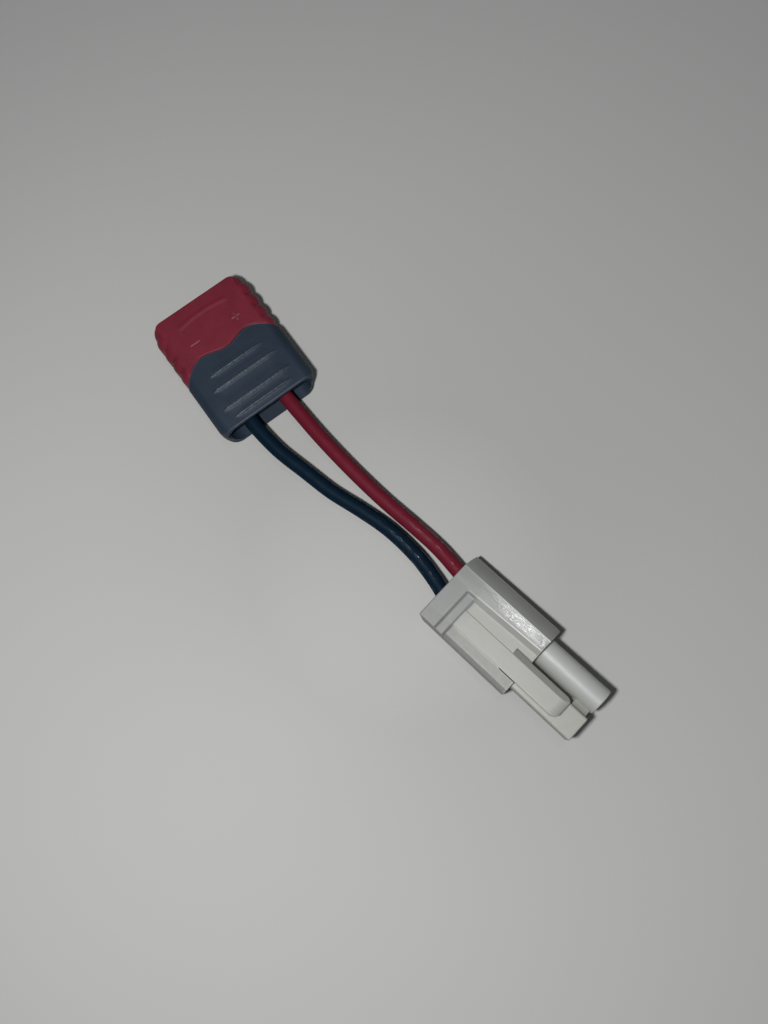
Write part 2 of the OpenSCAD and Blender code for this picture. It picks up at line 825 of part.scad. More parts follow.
module red_strands_plug() {
    color(tin) in_plug() translate([0, round_v, 0]) plug_strands();
}

module black_strands_plug() {
    color(tin) in_plug() translate([0, square_v, 0]) plug_strands();
}

module socket_positive() {
    color(gold) in_plug() translate([0, round_v, 0]) socket();
}

module socket_negative() {
    color(gold) in_plug() translate([0, square_v, 0]) socket();
}

t_housing();
rear_cap();
contact_positive();
contact_negative();
spring_positive();
spring_negative();
solder_positive();
solder_negative();
red_strands_t();
black_strands_t();
red_wire();
black_wire();
red_strands_plug();
black_strands_plug();
plug_housing();
socket_positive();
socket_negative();
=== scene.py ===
"""Looks of a short battery adapter lead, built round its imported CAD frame.

A capped T plug socket sits at one end and a two-pole battery plug at the other, joined by a
red and a black silicone wire. Lengths are written in millimetres and become metres where a
mesh is made. +X runs from the T plug to the battery plug and +Y is the positive side.
"""

import logging
import math
from dataclasses import dataclass
from enum import Enum
from typing import Dict, List, Optional, Sequence, Tuple

import bpy
import numpy as np
from mathutils import Matrix, Vector


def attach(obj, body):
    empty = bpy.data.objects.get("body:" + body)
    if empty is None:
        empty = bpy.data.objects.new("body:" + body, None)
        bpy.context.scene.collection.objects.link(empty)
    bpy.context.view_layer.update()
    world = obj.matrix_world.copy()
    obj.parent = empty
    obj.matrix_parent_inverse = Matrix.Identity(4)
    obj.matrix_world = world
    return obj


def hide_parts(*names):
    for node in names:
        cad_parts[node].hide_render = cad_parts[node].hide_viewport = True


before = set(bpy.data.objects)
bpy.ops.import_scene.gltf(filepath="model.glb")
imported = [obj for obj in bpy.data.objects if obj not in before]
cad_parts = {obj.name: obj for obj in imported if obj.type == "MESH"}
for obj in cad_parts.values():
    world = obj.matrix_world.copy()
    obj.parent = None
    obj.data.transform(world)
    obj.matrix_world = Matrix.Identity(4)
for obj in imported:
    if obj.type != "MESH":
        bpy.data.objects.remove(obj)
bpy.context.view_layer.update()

LOG = logging.getLogger("adapter_lead")
MM = 0.001
BODY = "root"
TAU = 2.0 * math.pi
QUARTER_TURN = math.pi / 2.0
TINY = 1e-30

# Places of the colour sockets on a node that mixes colours: two inputs and the output
MIX_FIRST, MIX_SECOND, MIX_RESULT = 6, 7, 2

Colour = Tuple[float, float, float]
Array = np.ndarray
Point = Tuple[float, float, float]


class Slot(Enum):
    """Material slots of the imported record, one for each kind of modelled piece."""

    RED_NYLON = "red_nylon"
    SLATE_CAP = "slate_cap"
    RED_RUBBER = "red_insulation"
    BLACK_RUBBER = "black_insulation"
    NATURAL_NYLON = "natural_nylon"


class Blend(Enum):
    """Ways in which one solid is combined with another."""

    JOIN = "UNION"
    CUT = "DIFFERENCE"
    KEEP = "INTERSECT"


class Axis(Enum):
    """Axes of the battery plug, along it, across it and up, as places in a point."""

    U = 0
    V = 1
    W = 2


class Kept(Enum):
    """Values that pieces keep on their points, by the names that materials read.

    They are the cap's painted glint share on the rib spines and its painted highlight and sheen
    share on the rims and rib flanks, a point of the battery plug in the plug's own millimetres,
    and a point of a wire as the way along it and the place round it.
    """

    CREST = "crest"
    RIM = "rim"
    OWN = "own"
    RUN = "run"


# ---- Arrays and meshes


def smoothstep(lo: float, hi: float, x: Array) -> Array:
    """Cubic ease: 3 t^2 - 2 t^3, where t runs from 0 at lo to 1 at hi.

    Args:
        lo: value at which the result is 0.
        hi: value at which the result is 1.
        x: values to ease.

    Returns:
        Array of the shape of x, between 0 and 1.
    """
    t = np.clip((x - lo) / (hi - lo), 0.0, 1.0)
    return t * t * (3.0 - 2.0 * t)


def quarter_inset(depth_in: Array, radius: float) -> Array:
    """Inset of a quarter-round edge: r - sqrt(r^2 - (r - d)^2) for d below r, else 0.

    Args:
        depth_in: distance d from the end face.
        radius: radius r of the edge.

    Returns:
        How far the skin lies inside its full size at that distance.
    """
    d = np.clip(radius - depth_in, 0.0, radius)
    return radius - np.sqrt(radius * radius - d * d)


def grid_faces(rows: int, cols: int, wrap_rows: bool = False) -> Array:
    """Quads of a grid whose columns close on themselves.

    Args:
        rows: number of rings.
        cols: points in a ring.
        wrap_rows: whether the last ring joins the first.

    Returns:
        Integer array of shape (n, 4).
    """
    r = np.arange(rows if wrap_rows else rows - 1)[:, None]
    c = np.arange(cols)[None, :]
    r1, c1 = (r + 1) % rows, (c + 1) % cols
    quads = np.stack([r * cols + c, r * cols + c1, r1 * cols + c1, r1 * cols + c], axis=-1)
    return quads.reshape(-1, 4)


def make_mesh(name: str, points: Array, faces: Sequence[Sequence[int]]) -> bpy.types.Object:
    """Makes an object from points in millimetres.

    Args:
        name: name of the piece.
        points: array of shape (n, 3), in millimetres.
        faces: vertex numbers of each face.

    Returns:
        The new object, at the origin and linked to the scene.
    """
    mesh = bpy.data.meshes.new(name)
    mesh.from_pydata((np.asarray(points, float) * MM).tolist(), [], [list(f) for f in faces])
    mesh.validate()
    mesh.update()
    obj = bpy.data.objects.new(name, mesh)
    bpy.context.scene.collection.objects.link(obj)
    return obj


def make_loft(name: str, rings: Array, closed: bool = False) -> bpy.types.Object:
    """Makes a closed surface from rings of points, facing outwards.

    Args:
        name: name of the piece.
        rings: array of shape (rows, cols, 3), in millimetres, each row closed round itself.
        closed: whether the last ring joins the first. Otherwise a face closes each end.

    Returns:
        The new object.
    """
    rows, cols = rings.shape[:2]
    faces = grid_faces(rows, cols, closed).tolist()
    if not closed:
        faces.append(list(range(cols))[::-1])
        faces.append([(rows - 1) * cols + k for k in range(cols)])
    obj = make_mesh(name, rings.reshape(-1, 3), faces)
    face_outwards(obj)
    return obj


def shade(obj: bpy.types.Object, angle: float) -> None:
    """Smooths a mesh's shading, apart from edges sharper than an angle in degrees.

    Args:
        obj: the piece.
        angle: widest angle that is still smoothed.
    """
    mesh = obj.data
    mesh.polygons.foreach_set("use_smooth", np.ones(len(mesh.polygons), bool))
    mesh.set_sharp_from_angle(angle=math.radians(angle))
    mesh.update()


def settle_normals(obj: bpy.types.Object, angle: float) -> None:
    """Shades rounded edges between flats as such, so that the flats stay even.

    A corner's normal is the sum of the face normals round its point, each times its area,
    over the faces within an angle in degrees of the corner's own face.

    Args:
        obj: the piece.
        angle: widest angle between faces that share a normal.
    """
    mesh = obj.data
    faces, corners = len(mesh.polygons), len(mesh.loops)
    normal, area = np.empty(faces * 3), np.empty(faces)
    count, point = np.empty(faces, np.int64), np.empty(corners, np.int64)
    mesh.polygons.foreach_get("normal", normal)
    mesh.polygons.foreach_get("area", area)
    mesh.polygons.foreach_get("loop_total", count)
    mesh.loops.foreach_get("vertex_index", point)
    face = np.repeat(np.arange(faces), count)
    order = np.argsort(point, kind="stable")
    point, face = point[order], face[order]
    own = normal.reshape(-1, 3)[face]
    heavy = own * area[face][:, None]
    total = heavy.copy()
    for step in range(1, int(np.bincount(point).max())):
        same = point[step:] == point[:-step]
        near = np.einsum("ij,ij->i", own[step:], own[:-step]) > math.cos(math.radians(angle))
        pair = (same & near)[:, None]
        total[step:] += heavy[:-step] * pair
        total[:-step] += heavy[step:] * pair
    total /= np.maximum(np.linalg.norm(total, axis=1, keepdims=True), TINY)
    given = np.empty_like(total)
    given[order] = total
    mesh.normals_split_custom_set(given.tolist())


def face_outwards(obj: bpy.types.Object) -> None:
    """Turns all the faces of a closed mesh outwards, by the sign of its volume.

    The volume is a sixth of the sum of a . (b x c) over the triangles a, b, c.

    Args:
        obj: a closed solid.
    """
    mesh = obj.data
    mesh.calc_loop_triangles()
    tri = np.empty(len(mesh.loop_triangles) * 3, np.int64)
    mesh.loop_triangles.foreach_get("vertices", tri)
    co = np.empty(len(mesh.vertices) * 3)
    mesh.vertices.foreach_get("co", co)
    a, b, c = co.reshape(-1, 3)[tri.reshape(-1, 3)].transpose(1, 0, 2)
    if float(np.einsum("ij,ij->i", a, np.cross(b, c)).sum()) < 0.0:
        mesh.flip_normals()
    mesh.update()


def keep_evaluated(obj: bpy.types.Object) -> None:
    """Applies all the modifiers of an object to its mesh.

    Args:
        obj: the object.
    """
    graph = bpy.context.evaluated_depsgraph_get()
    baked = bpy.data.meshes.new_from_object(obj.evaluated_get(graph))
    obj.modifiers.clear()
    old = obj.data
    obj.data = baked
    bpy.data.meshes.remove(old)


def combine(
    obj: bpy.types.Object, others: Sequence[bpy.types.Object], how: Blend
) -> None:
    """Joins solids to an object, cuts them from it or keeps what they share.

    Args:
        obj: the solid that stays.
        others: the solids used on it.
        how: join, cut or keep.
    """
    for other in others:
        face_outwards(other)
        step = obj.modifiers.new("combine", "BOOLEAN")
        step.operation = how.value
        step.solver = "EXACT"
        step.object = other
        keep_evaluated(obj)
        bpy.data.objects.remove(other)


def soften(
    obj: bpy.types.Object, width: float, steps: int = 4, angle: float = 30.0, flat: float = 0.5
) -> None:
    """Merges the flat faces of a solid and rounds its sharp edges.

    Args:
        obj: the solid.
        width: width of the rounding in millimetres.
        steps: faces across it.
        angle: edges sharper than this many degrees are rounded.
        flat: faces within this many degrees of each other count as one.
    """
    flats = obj.modifiers.new("whole_flats", "DECIMATE")
    flats.decimate_type = "DISSOLVE"
    flats.angle_limit = math.radians(flat)
    edge = obj.modifiers.new("moulded_edges", "BEVEL")
    edge.width = width * MM
    edge.segments = steps
    edge.limit_method = "ANGLE"
    edge.angle_limit = math.radians(angle)
    edge.miter_outer = "MITER_ARC"
    edge.use_clamp_overlap = False
    keep_evaluated(obj)


def place(obj: bpy.types.Object, matrix: Matrix) -> None:
    """Moves the mesh itself, so that the object stays at the origin."""
    obj.data.transform(matrix)
    obj.data.update()


def keep_on_points(obj: bpy.types.Object, kept: Kept, values: Array, vector: bool) -> None:
    """Keeps a number or a vector on each point of a mesh, for a material to read.

    Args:
        obj: the piece.
        kept: which value it is.
        values: one number, or three, for each point in order.
        vector: whether there are three.
    """
    kind, key = ("FLOAT_VECTOR", "vector") if vector else ("FLOAT", "value")
    layer = obj.data.attributes.new(kept.value, kind, "POINT")
    layer.data.foreach_set(key, values.reshape(-1).astype(np.float32))


def dress(
    obj: bpy.types.Object,
    finish: bpy.types.Material,
    slot: Slot,
    nodes: Sequence[str] = (),
) -> None:
    """Gives a piece its material and its body, and hides the CAD nodes that it stands for.

    Args:
        obj: the finished piece.
        finish: its material.
        slot: not used.
        nodes: names of the CAD nodes that it replaces.
    """
    obj.data.materials.clear()
    obj.data.materials.append(finish)
    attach(obj, BODY)
    if nodes:
        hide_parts(*nodes)
    LOG.info("piece %s: %d faces", obj.name, len(obj.data.polygons))


# ---- Sections


@dataclass(frozen=True)
class LoopTable:
    """Points round a rectangle with round corners, as factors of its sizes.

    A point is y = ky (a - r) + r cos(t) and z = kz (b - r) + r sin(t), for half width a,
    half height b and corner radius r. ky and kz run from -1 to 1 along the flat stretches.
    """

    ky: Array
    kz: Array
    cos: Array
    sin: Array
    upright: float = 0.999

    @staticmethod
    def build(flat: int, side: int, arc: int, crowding: float = 1.6) -> "LoopTable":
        """Makes the table.

        Args:
            flat: points along the top and the bottom.
            side: points along each narrow side.
            arc: points in each corner, closer together near the flat faces.
            crowding: power by which they close up there.

        Returns:
            Table of 2 flat + 2 side + 4 arc points, from the top's +y end to -y.
        """
        digits = 12
        turn = QUARTER_TURN * np.linspace(0.0, 1.0, arc) ** crowding
        line = np.linspace(1.0, -1.0, flat + 2)[1:-1]
        edge = np.linspace(1.0, -1.0, side + 2)[1:-1]
        ky: List[Array] = []
        kz: List[Array] = []
        angle: List[Array] = []
        for k, (sy, sz) in enumerate(((1.0, 1.0), (-1.0, 1.0), (-1.0, -1.0), (1.0, -1.0))):
            level = k % 2 == 0
            run = line if level else edge
            start = k * QUARTER_TURN
            sweep = QUARTER_TURN - turn[::-1] if level else turn
            ky += [np.full(arc, sy), run * sy if level else np.full(len(run), sy)]
            kz += [np.full(arc, sz), np.full(len(run), sz) if level else run * sz]
            angle += [start + sweep, np.full(len(run), start + QUARTER_TURN)]
        t = np.concatenate(angle)
        return LoopTable(
            np.concatenate(ky),
            np.concatenate(kz),
            np.round(np.cos(t), digits),
            np.round(np.sin(t), digits),
        )

    @property
    def on_flat(self) -> Array:
        """Mask of the points on the wide flat faces, whose normal stands upright."""
        return np.abs(self.sin) > self.upright

    def section(self, a: Array, b: Array, r: Array) -> Tuple[Array, Array]:
        """Works out y and z for rows of half width a, half height b and radius r."""
        a, b, r = (np.atleast_1d(v).astype(float)[:, None] for v in (a, b, r))
        return self.ky * (a - r) + r * self.cos, self.kz * (b - r) + r * self.sin


@dataclass(frozen=True)
class ShellForm:
    """Outer form that the red housing and the cap share, in millimetres."""

    width: float = 20.8
    height: float = 7.05
    length: float = 25.9
    corner: float = 2.2
    front_x: float = -17.5
    mid_z: float = 3.875
    seam_side: float = 13.6
    seam_lobe: float = 10.5
    seam_dip: float = 11.5
    seam_turn: float = 120.0
    seam_turn_rise: float = 1.5
    lobe_y: float = 5.0
    seam_gap: float = 0.12
    cap_wall: float = 0.75
    side_wall: float = 1.5
    cavity_round: float = 0.94
    neck_gap: float = 0.1

    @property
    def half_w(self) -> float:
        """Half of the width."""
        return self.width / 2.0

    @property
    def half_h(self) -> float:
        """Half of the height."""
        return self.height / 2.0

    @property
    def cavity(self) -> Tuple[float, float, float]:
        """Half width, half height and corner radius of the cap's inside."""
        b = self.half_h - self.cap_wall
        return self.half_w - self.side_wall, b, self.cavity_round * b

    def seam(self, y: Array) -> Array:
        """Distance of the seam from the mating face.

        Cosine from the dip on the centre line to the lobes, then to the narrow sides the
        first 120 degrees of a cosine, which rise by 1 - cos(120) = 1.5 times its height.

        Args:
            y: distances from the centre line.

        Returns:
            Distances of the seam, of the shape of y.
        """
        a = np.abs(y)
        inner = self.seam_lobe + (self.seam_dip - self.seam_lobe) * (
            1.0 + np.cos(math.pi * np.minimum(a, self.lobe_y) / self.lobe_y)
        ) / 2.0
        t = np.clip((a - self.lobe_y) / (self.half_w - self.lobe_y), 0.0, 1.0)
        bend = 1.0 - np.cos(math.radians(self.seam_turn) * t)
        outer = (self.seam_side - self.seam_lobe) * bend / self.seam_turn_rise
        return inner + np.where(a > self.lobe_y, outer, 0.0)

    def stack(self, x: Array, y: Array, z: Array) -> Array:
        """Puts distances from the mating face and heights above mid height into the frame."""
        x, y, z = np.broadcast_arrays(x, y, z)
        return np.stack([self.front_x + x, y, self.mid_z + z], axis=-1)


@dataclass(frozen=True)
class Housing:
    """Red housing of the T plug, with its neck, slots and moulded arc."""

    form: ShellForm
    finish: bpy.types.Material
    front_corner: float = 2.0
    corner_wide: float = 2.6
    front_edge: float = 0.4
    mouth_r: float = 0.9
    pitch: float = 2.7
    depth: float = 0.45
    first: float = 2.1
    first_lead: float = 0.03
    wrap: float = 0.6
    level_to: float = 9.9
    lip: float = 0.16
    lip_l: float = 0.22
    neck_end: float = 16.2
    neck_edge: float = 0.25
    crest_x: float = 2.9
    crest_r: float = 26.0
    crest_rise: float = 0.085
    crest_w: float = 1.35
    crest_power: float = 1.6
    crest_span: float = 13.0
    crest_fade: float = 2.5
    slot_y: float = 4.35
    slot_drop: float = 0.55
    edge_rows: int = 14
    lead_rows: int = 30
    grip_rows: int = 90
    seam_rows: int = 46
    front_shares: Tuple[float, ...] = (0.3, 0.65, 0.9)
    rear_shares: Tuple[float, ...] = (1.0, 0.6, 0.25)

    def valley(self, x: Array) -> Array:
        """Depth below the scallops' crests at a distance from the mating face.

        With R the scallop radius and d the distance to the nearest scallop's middle, it is
        R - sqrt(R^2 - d^2), and the full depth ahead of the first scallop.

        Args:
            x: distances from the mating face.

        Returns:
            Depths, of the shape of x.
        """
        radius = ((self.pitch / 2.0) ** 2 + self.depth**2) / (2.0 * self.depth)
        along = (x - self.first) / self.pitch
        off = (along - np.floor(along) - 0.5) * self.pitch
        bump = radius - np.sqrt(radius**2 - off**2)
        return np.where(x < self.first, self.depth, np.minimum(bump, self.depth))

    def crest(self, x: Array, y: Array) -> Array:
        """Height of the shallow arc: a rounded ridge that follows a circle and fades out.

        Args:
            x: distances from the mating face.
            y: distances from the centre line.

        Returns:
            Heights above the flat face.
        """
        cx = self.crest_x + self.crest_r
        away = np.abs(np.hypot(x - cx, y) - self.crest_r) / (self.crest_w / 2.0)
        angle = np.degrees(np.arctan2(np.abs(y), cx - x))
        fade = 1.0 - smoothstep(self.crest_span - self.crest_fade, self.crest_span, angle)
        ridge = np.clip(1.0 - away**2, 0.0, 1.0) ** self.crest_power
        return self.crest_rise * ridge * fade

    def skin(self) -> Array:
        """Rings of the whole housing, from the middle of the mating face to the rear face.

        Each ring is a rectangle with round corners. Its size follows the rounded front, the
        scallops take their depth from it along its normal at the sides and corners, and the
        last rings step in at the seam and run along the neck.

        Returns:
            Array of shape (rings, points, 3), in millimetres.
        """
        form = self.form
        table = LoopTable.build(flat=130, side=22, arc=22)
        turn = np.linspace(0.0, QUARTER_TURN, self.edge_rows)
        xs = np.concatenate(
            [
                self.front_edge * (1.0 - np.cos(turn)),
                np.linspace(self.front_edge, self.first, self.lead_rows)[1:-1],
                np.linspace(self.first - self.first_lead, self.level_to, self.grip_rows),
            ]
        )
        wide = self.corner_wide / self.front_corner
        a = form.half_w - wide * quarter_inset(xs, self.front_corner)
        b = form.half_h - quarter_inset(xs, self.front_edge)
        r = self.mouth_r + (form.corner - self.mouth_r) * smoothstep(0.0, self.front_corner, xs)
        y, z = table.section(a, b, r)
        x = np.repeat(xs[:, None], y.shape[1], axis=1)

        # Rows that lean over until the last one follows the seam
        steps = np.linspace(0.0, 1.0, self.seam_rows)[1:]
        ys, zs = table.section(form.half_w, form.half_h, form.corner)
        end = form.seam(ys) - form.seam_gap
        xb = self.level_to + (end - self.level_to) * steps[:, None]
        yb = np.repeat(ys, len(steps), axis=0)
        zb = np.repeat(zs, len(steps), axis=0)
        x, y, z = (np.concatenate(p) for p in ((x, xb), (y, yb), (z, zb)))

        # Scallops of full depth at the sides and corners, which end at the flats
        sink = self.valley(x) * smoothstep(0.0, self.wrap, np.abs(table.cos))[None, :]
        lift = self.crest(x, y) * table.on_flat
        lip = self.lip * smoothstep(-self.lip_l, 0.0, x - end) ** 2
        y = y - table.cos * (sink + lip)
        z = z - table.sin * (sink + lip) + np.sign(table.sin) * lift

        # Seam face, neck with its chamfer, and rear face
        ny, nz = table.section(*(v - form.neck_gap for v in form.cavity))
        ty, tz = table.section(*(v - form.neck_gap - self.neck_edge for v in form.cavity))
        rows = [
            (end, 0.5 * (y[-1:] + ny), 0.5 * (z[-1:] + nz)),
            (end, ny, nz),
            (0.5 * (end + self.neck_end), ny, nz),
            (self.neck_end - self.neck_edge, ny, nz),
            *[(self.neck_end, ty * share, tz * share) for share in self.rear_shares],
        ]
        face = [form.stack(0.0, y[:1] * share, z[:1] * share) for share in self.front_shares]
        return np.concatenate([*face, form.stack(x, y, z), *[form.stack(*row) for row in rows]])

    def slot_cutter(self, name: str, upright: bool) -> bpy.types.Object:
        """Solid that cuts one blade slot: a chamfered mouth, the blade's room and the passage.

        Args:
            name: name of the tool.
            upright: whether the strip stands on edge, as the positive one does.

        Returns:
            The tool, in its place in the frame.
        """
        half, step, room, strip, gap = 2.2, 0.25, 1.4, 0.8, 0.05
        ahead, sill, blade_end, behind = -1.0, 0.12, 14.2, 18.0
        mouth = (-room - step, strip + step, half + gap + step)
        blade = (-room, strip + gap, half + gap)
        passage = (-gap, strip + gap, half + gap)
        rings = []
        for x, (lo, hi, w) in (
            (ahead, mouth),
            (sill, mouth),
            (step + sill, blade),
            (blade_end, blade),
            (blade_end, passage),
            (behind, passage),
        ):
            flat = np.array([[lo, -w], [hi, -w], [hi, w], [lo, w]])
            if upright:
                y, z = self.slot_y + flat[:, 0], flat[:, 1]
            else:
                y, z = -self.slot_y + flat[:, 1], -self.slot_drop - flat[:, 0]
            rings.append(self.form.stack(x, y, z))
        return make_loft(name, np.array(rings))

    def build(self) -> None:
        """Makes the housing and dresses it."""
        obj = make_loft("t_plug_housing", self.skin())
        cutters = [self.slot_cutter("slot_upright", True), self.slot_cutter("slot_lying", False)]
        combine(obj, cutters, Blend.CUT)
        shade(obj, angle=38.0)
        dress(obj, self.finish, Slot.RED_NYLON, ["t_housing"])


@dataclass(frozen=True)
class PolaritySigns:
    """Plus and minus bars moulded on the top face of the housing.

    Each sign is placed by its distances from the mating face and from the centre line.
    """

    form: ShellForm
    finish: bpy.types.Material
    plus: Tuple[float, float] = (7.45, 4.8)
    minus: Tuple[float, float] = (7.4, -4.3)
    arm: float = 1.0
    bar: float = 1.15
    width: float = 0.6
    rise: float = 0.05
    sunk: float = 0.05
    squareness: float = 0.45
    points: int = 48
    rows: int = 7

    def pill(self, cx: float, cy: float, half_x: float, half_y: float) -> Array:
        """Rings of a low rounded bar: shrinking ovals whose height follows a quarter circle.

        Args:
            cx: distance of its middle from the mating face.
            cy: distance of its middle from the centre line.
            half_x: half of its size along X.
            half_y: half of its size along Y.

        Returns:
            Array of shape (rings, points, 3), in millimetres.
        """
        t = np.linspace(0.0, TAU, self.points, endpoint=False)
        ex = np.sign(np.cos(t)) * np.abs(np.cos(t)) ** self.squareness
        ey = np.sign(np.sin(t)) * np.abs(np.sin(t)) ** self.squareness
        s = np.linspace(0.0, QUARTER_TURN, self.rows)[:-1, None]
        edge = self.width / 2.0 * (1.0 - np.cos(s))
        z = self.form.half_h - self.sunk + (self.sunk + self.rise) * np.sin(s)
        return self.form.stack(cx + ex * (half_x - edge), cy + ey * (half_y - edge), z)

    def build(self) -> None:
        """Joins the three bars into one piece and dresses it."""
        half = self.width / 2.0
        bars = [
            (*self.plus, self.arm, half),
            (*self.plus, half, self.arm),
            (*self.minus, half, self.bar),
        ]
        obj, *others = [make_loft(f"bar_{k}", self.pill(*bar)) for k, bar in enumerate(bars)]
        combine(obj, others, Blend.JOIN)
        obj.name = "polarity_signs"
        shade(obj, angle=50.0)
        dress(obj, self.finish, Slot.RED_NYLON)


@dataclass(frozen=True)
class RearCap:
    """Slate cap: a sleeve with a wavy front edge, grip ribs and an open rear mouth.

    Each rib is its distance from the mating face, half its length and half its width.
    """

    form: ShellForm
    finish: bpy.types.Material
    corner: float = 3.0
    corner_up: float = 1.8
    upper: Tuple[float, float] = (-0.9, 0.5)
    edge: float = 0.25
    lean: float = 0.5
    nose: float = 0.14
    ribs: Tuple[Point, ...] = (
        (14.7, 5.9, 0.72),
        (17.5, 7.0, 1.12),
        (21.5, 7.5, 1.12),
        (23.7, 6.3, 0.72),
    )
    taper: float = 1.8
    taper_power: float = 0.7
    point_w: float = 0.25
    rib_rise: float = 0.35
    rib_mix: Tuple[float, float] = (0.55, 0.45)
    foot_reach: float = 0.55
    narrow: float = 0.6
    flare: float = 0.45
    flare_up: Tuple[float, float] = (-0.2, 0.6)
    flare_l: float = 1.0
    crowding: float = 1.7
    # Painted glints: a lighter bell on each rib spine, stronger towards the black wire
    spine: float = 0.3
    spine_back: float = 0.05
    glint_taper: float = 0.6
    glint_mix: Tuple[float, float] = (0.65, 0.35)
    # Painted sheen: a lighter bell on the rib flanks that face the mating face
    sheen_at: float = 0.4
    sheen_w: float = 0.35
    dust: float = 0.2
    # Painted highlights: lighter bands along the front edge and the rear rim
    front_band: Tuple[float, float] = (0.02, 0.26)
    rear_band: Tuple[float, float] = (-0.2, -0.02)
    rear_fade: Tuple[float, float] = (6.5, 8.5)
    rear_loss: float = 0.6
    outside_rows: int = 150
    rim_rows: int = 16
    inside_rows: int = 48
    front_rows: int = 6

    def rib(self, x: Array, y: Array) -> Array:
        """Height of the ribs above a flat face.

        With d the distance from a rib's centre line in half widths, it is a narrow spine
        (1 - (d / narrow)^2)^2 and nearly as much of a hollow foot, times the rise. Width and
        rise shrink over the pointed ends.

        Args:
            x: distances from the mating face.
            y: distances from the centre line.

        Returns:
            Heights, in millimetres.
        """
        height = np.zeros(np.broadcast(x, y).shape)
        for cx, half, wide in self.ribs:
            point = np.clip((half - np.abs(y)) / self.taper, 0.0, 1.0)
            d = np.abs(x - cx) / (wide * (self.point_w + (1.0 - self.point_w) * point))
            spine = (1.0 - np.clip(d / self.narrow, 0.0, 1.0) ** 2) ** 2
            foot = (1.0 - np.clip(self.foot_reach * d, 0.0, 1.0)) ** 2
            profile = self.rib_mix[0] * spine + self.rib_mix[1] * foot
            height = np.maximum(height, self.rib_rise * point**self.taper_power * profile)
        return height

    def spine_glints(self, x: Array, y: Array) -> Array:
        """Painted glint share of the ribs: a lighter bell round each spine, stronger towards the
        black wire.

        Args:
            x: distances from the mating face.
            y: distances from the centre line.

        Returns:
            Shares between 0 and 1.
        """
        share = np.zeros(np.broadcast(x, y).shape)
        for cx, half, _ in self.ribs:
            point = np.clip((half - np.abs(y)) / (self.glint_taper * self.taper), 0.0, 1.0)
            bell = np.exp(-(((x - cx - self.spine_back) / self.spine) ** 2))
            side = self.glint_mix[0] - self.glint_mix[1] * y / half
            share = np.maximum(share, bell * point * side)
        return share

    def dusty(self, x: Array, y: Array) -> Array:
        """Painted sheen share of the ribs: a wider, lighter bell on the flank that faces the
        mating face.

        Args:
            x: distances from the mating face.
            y: distances from the centre line.

        Returns:
            Shares between 0 and 1.
        """
        share = np.zeros(np.broadcast(x, y).shape)
        for cx, half, wide in self.ribs:
            point = np.clip((half - np.abs(y)) / self.taper, 0.0, 1.0)
            bell = np.exp(-(((x - cx + self.sheen_at * wide) / (self.sheen_w * wide)) ** 2))
            share = np.maximum(share, point * bell)
        return share

    def rim_highlights(self, ahead: Array, behind: Array, y: Array) -> Array:
        """Painted highlight share of both rims.

        Args:
            ahead: distances behind the front edge.
            behind: distances from the rear rim, negative ahead of it.
            y: distances from the centre line, past which the rear band fades.

        Returns:
            Share between 0 and 1.
        """
        front = 1.0 - smoothstep(*self.front_band, ahead)
        fade = 1.0 - self.rear_loss * smoothstep(*self.rear_fade, np.abs(y))
        return np.maximum(front, smoothstep(*self.rear_band, behind) * fade)

    def rim_x(self, y: Array, z: Array) -> Array:
        """Distance of the rear rim from the mating face.

        The length, less a lean that grows with the height, a quarter circle at the plan's
        corners, whose radius shrinks towards the upper side, and a small one at the long edges.

        Args:
            y: distances from the centre line.
            z: heights above mid height.

        Returns:
            Distances, of the shape of y and z.
        """
        form = self.form
        upper = smoothstep(*self.upper, z / form.half_h)
        corner = self.corner + (self.corner_up - self.corner) * upper
        out_y = np.clip(np.abs(y) - (form.half_w - corner), 0.0, corner)
        out_z = np.clip(np.abs(z) - (form.half_h - self.edge), 0.0, self.edge)
        drop_y = corner - np.sqrt(corner**2 - out_y**2)
        drop_z = self.edge - np.sqrt(self.edge**2 - out_z**2)
        return form.length - self.lean * (z / form.height + 0.5) - drop_y - drop_z

    def build(self) -> None:
        """Makes the cap as one closed grid: round the section, and round the wall.

        At the mouth the upper inside opens by a share of the wall, along an S curve.
        """
        form = self.form
        table = LoopTable.build(flat=130, side=16, arc=18)
        oy, oz = table.section(form.half_w, form.half_h, form.corner)
        iy, iz = table.section(*form.cavity)
        front = form.seam(oy)
        back = self.rim_x(oy, oz)

        # Outside, from the front edge to the rim
        x_out = front + (back - front) * np.linspace(0.0, 1.0, self.outside_rows)[:, None]
        lift = self.rib(x_out, oy) * table.on_flat
        nose = self.nose * (1.0 - smoothstep(0.0, self.nose, x_out - front)) ** 2
        y_out = oy - table.cos * nose
        z_out = oz - table.sin * nose + np.sign(table.sin) * lift

        # Rim, from the outside to the opened inside
        share = self.flare * smoothstep(*self.flare_up, oz / form.half_h)
        ease = 0.5 - 0.5 * np.cos(np.linspace(0.0, math.pi, self.rim_rows))
        w = ease[1:-1, None] * (1.0 - share)
        y_rim, z_rim = oy + (iy - oy) * w, oz + (iz - oz) * w
        x_rim = self.rim_x(y_rim, z_rim)

        # Inside, with its rings closer together towards the mouth
        inner = 1.0 - np.linspace(0.0, 1.0, self.inside_rows)[:, None] ** self.crowding
        x_lip = self.rim_x(iy + (oy - iy) * share, iz + (oz - iz) * share)
        x_in = front + (x_lip - front) * inner
        open_by = share * (1.0 - smoothstep(0.0, self.flare_l, x_lip - x_in))
        y_in, z_in = iy + (oy - iy) * open_by, iz + (oz - iz) * open_by

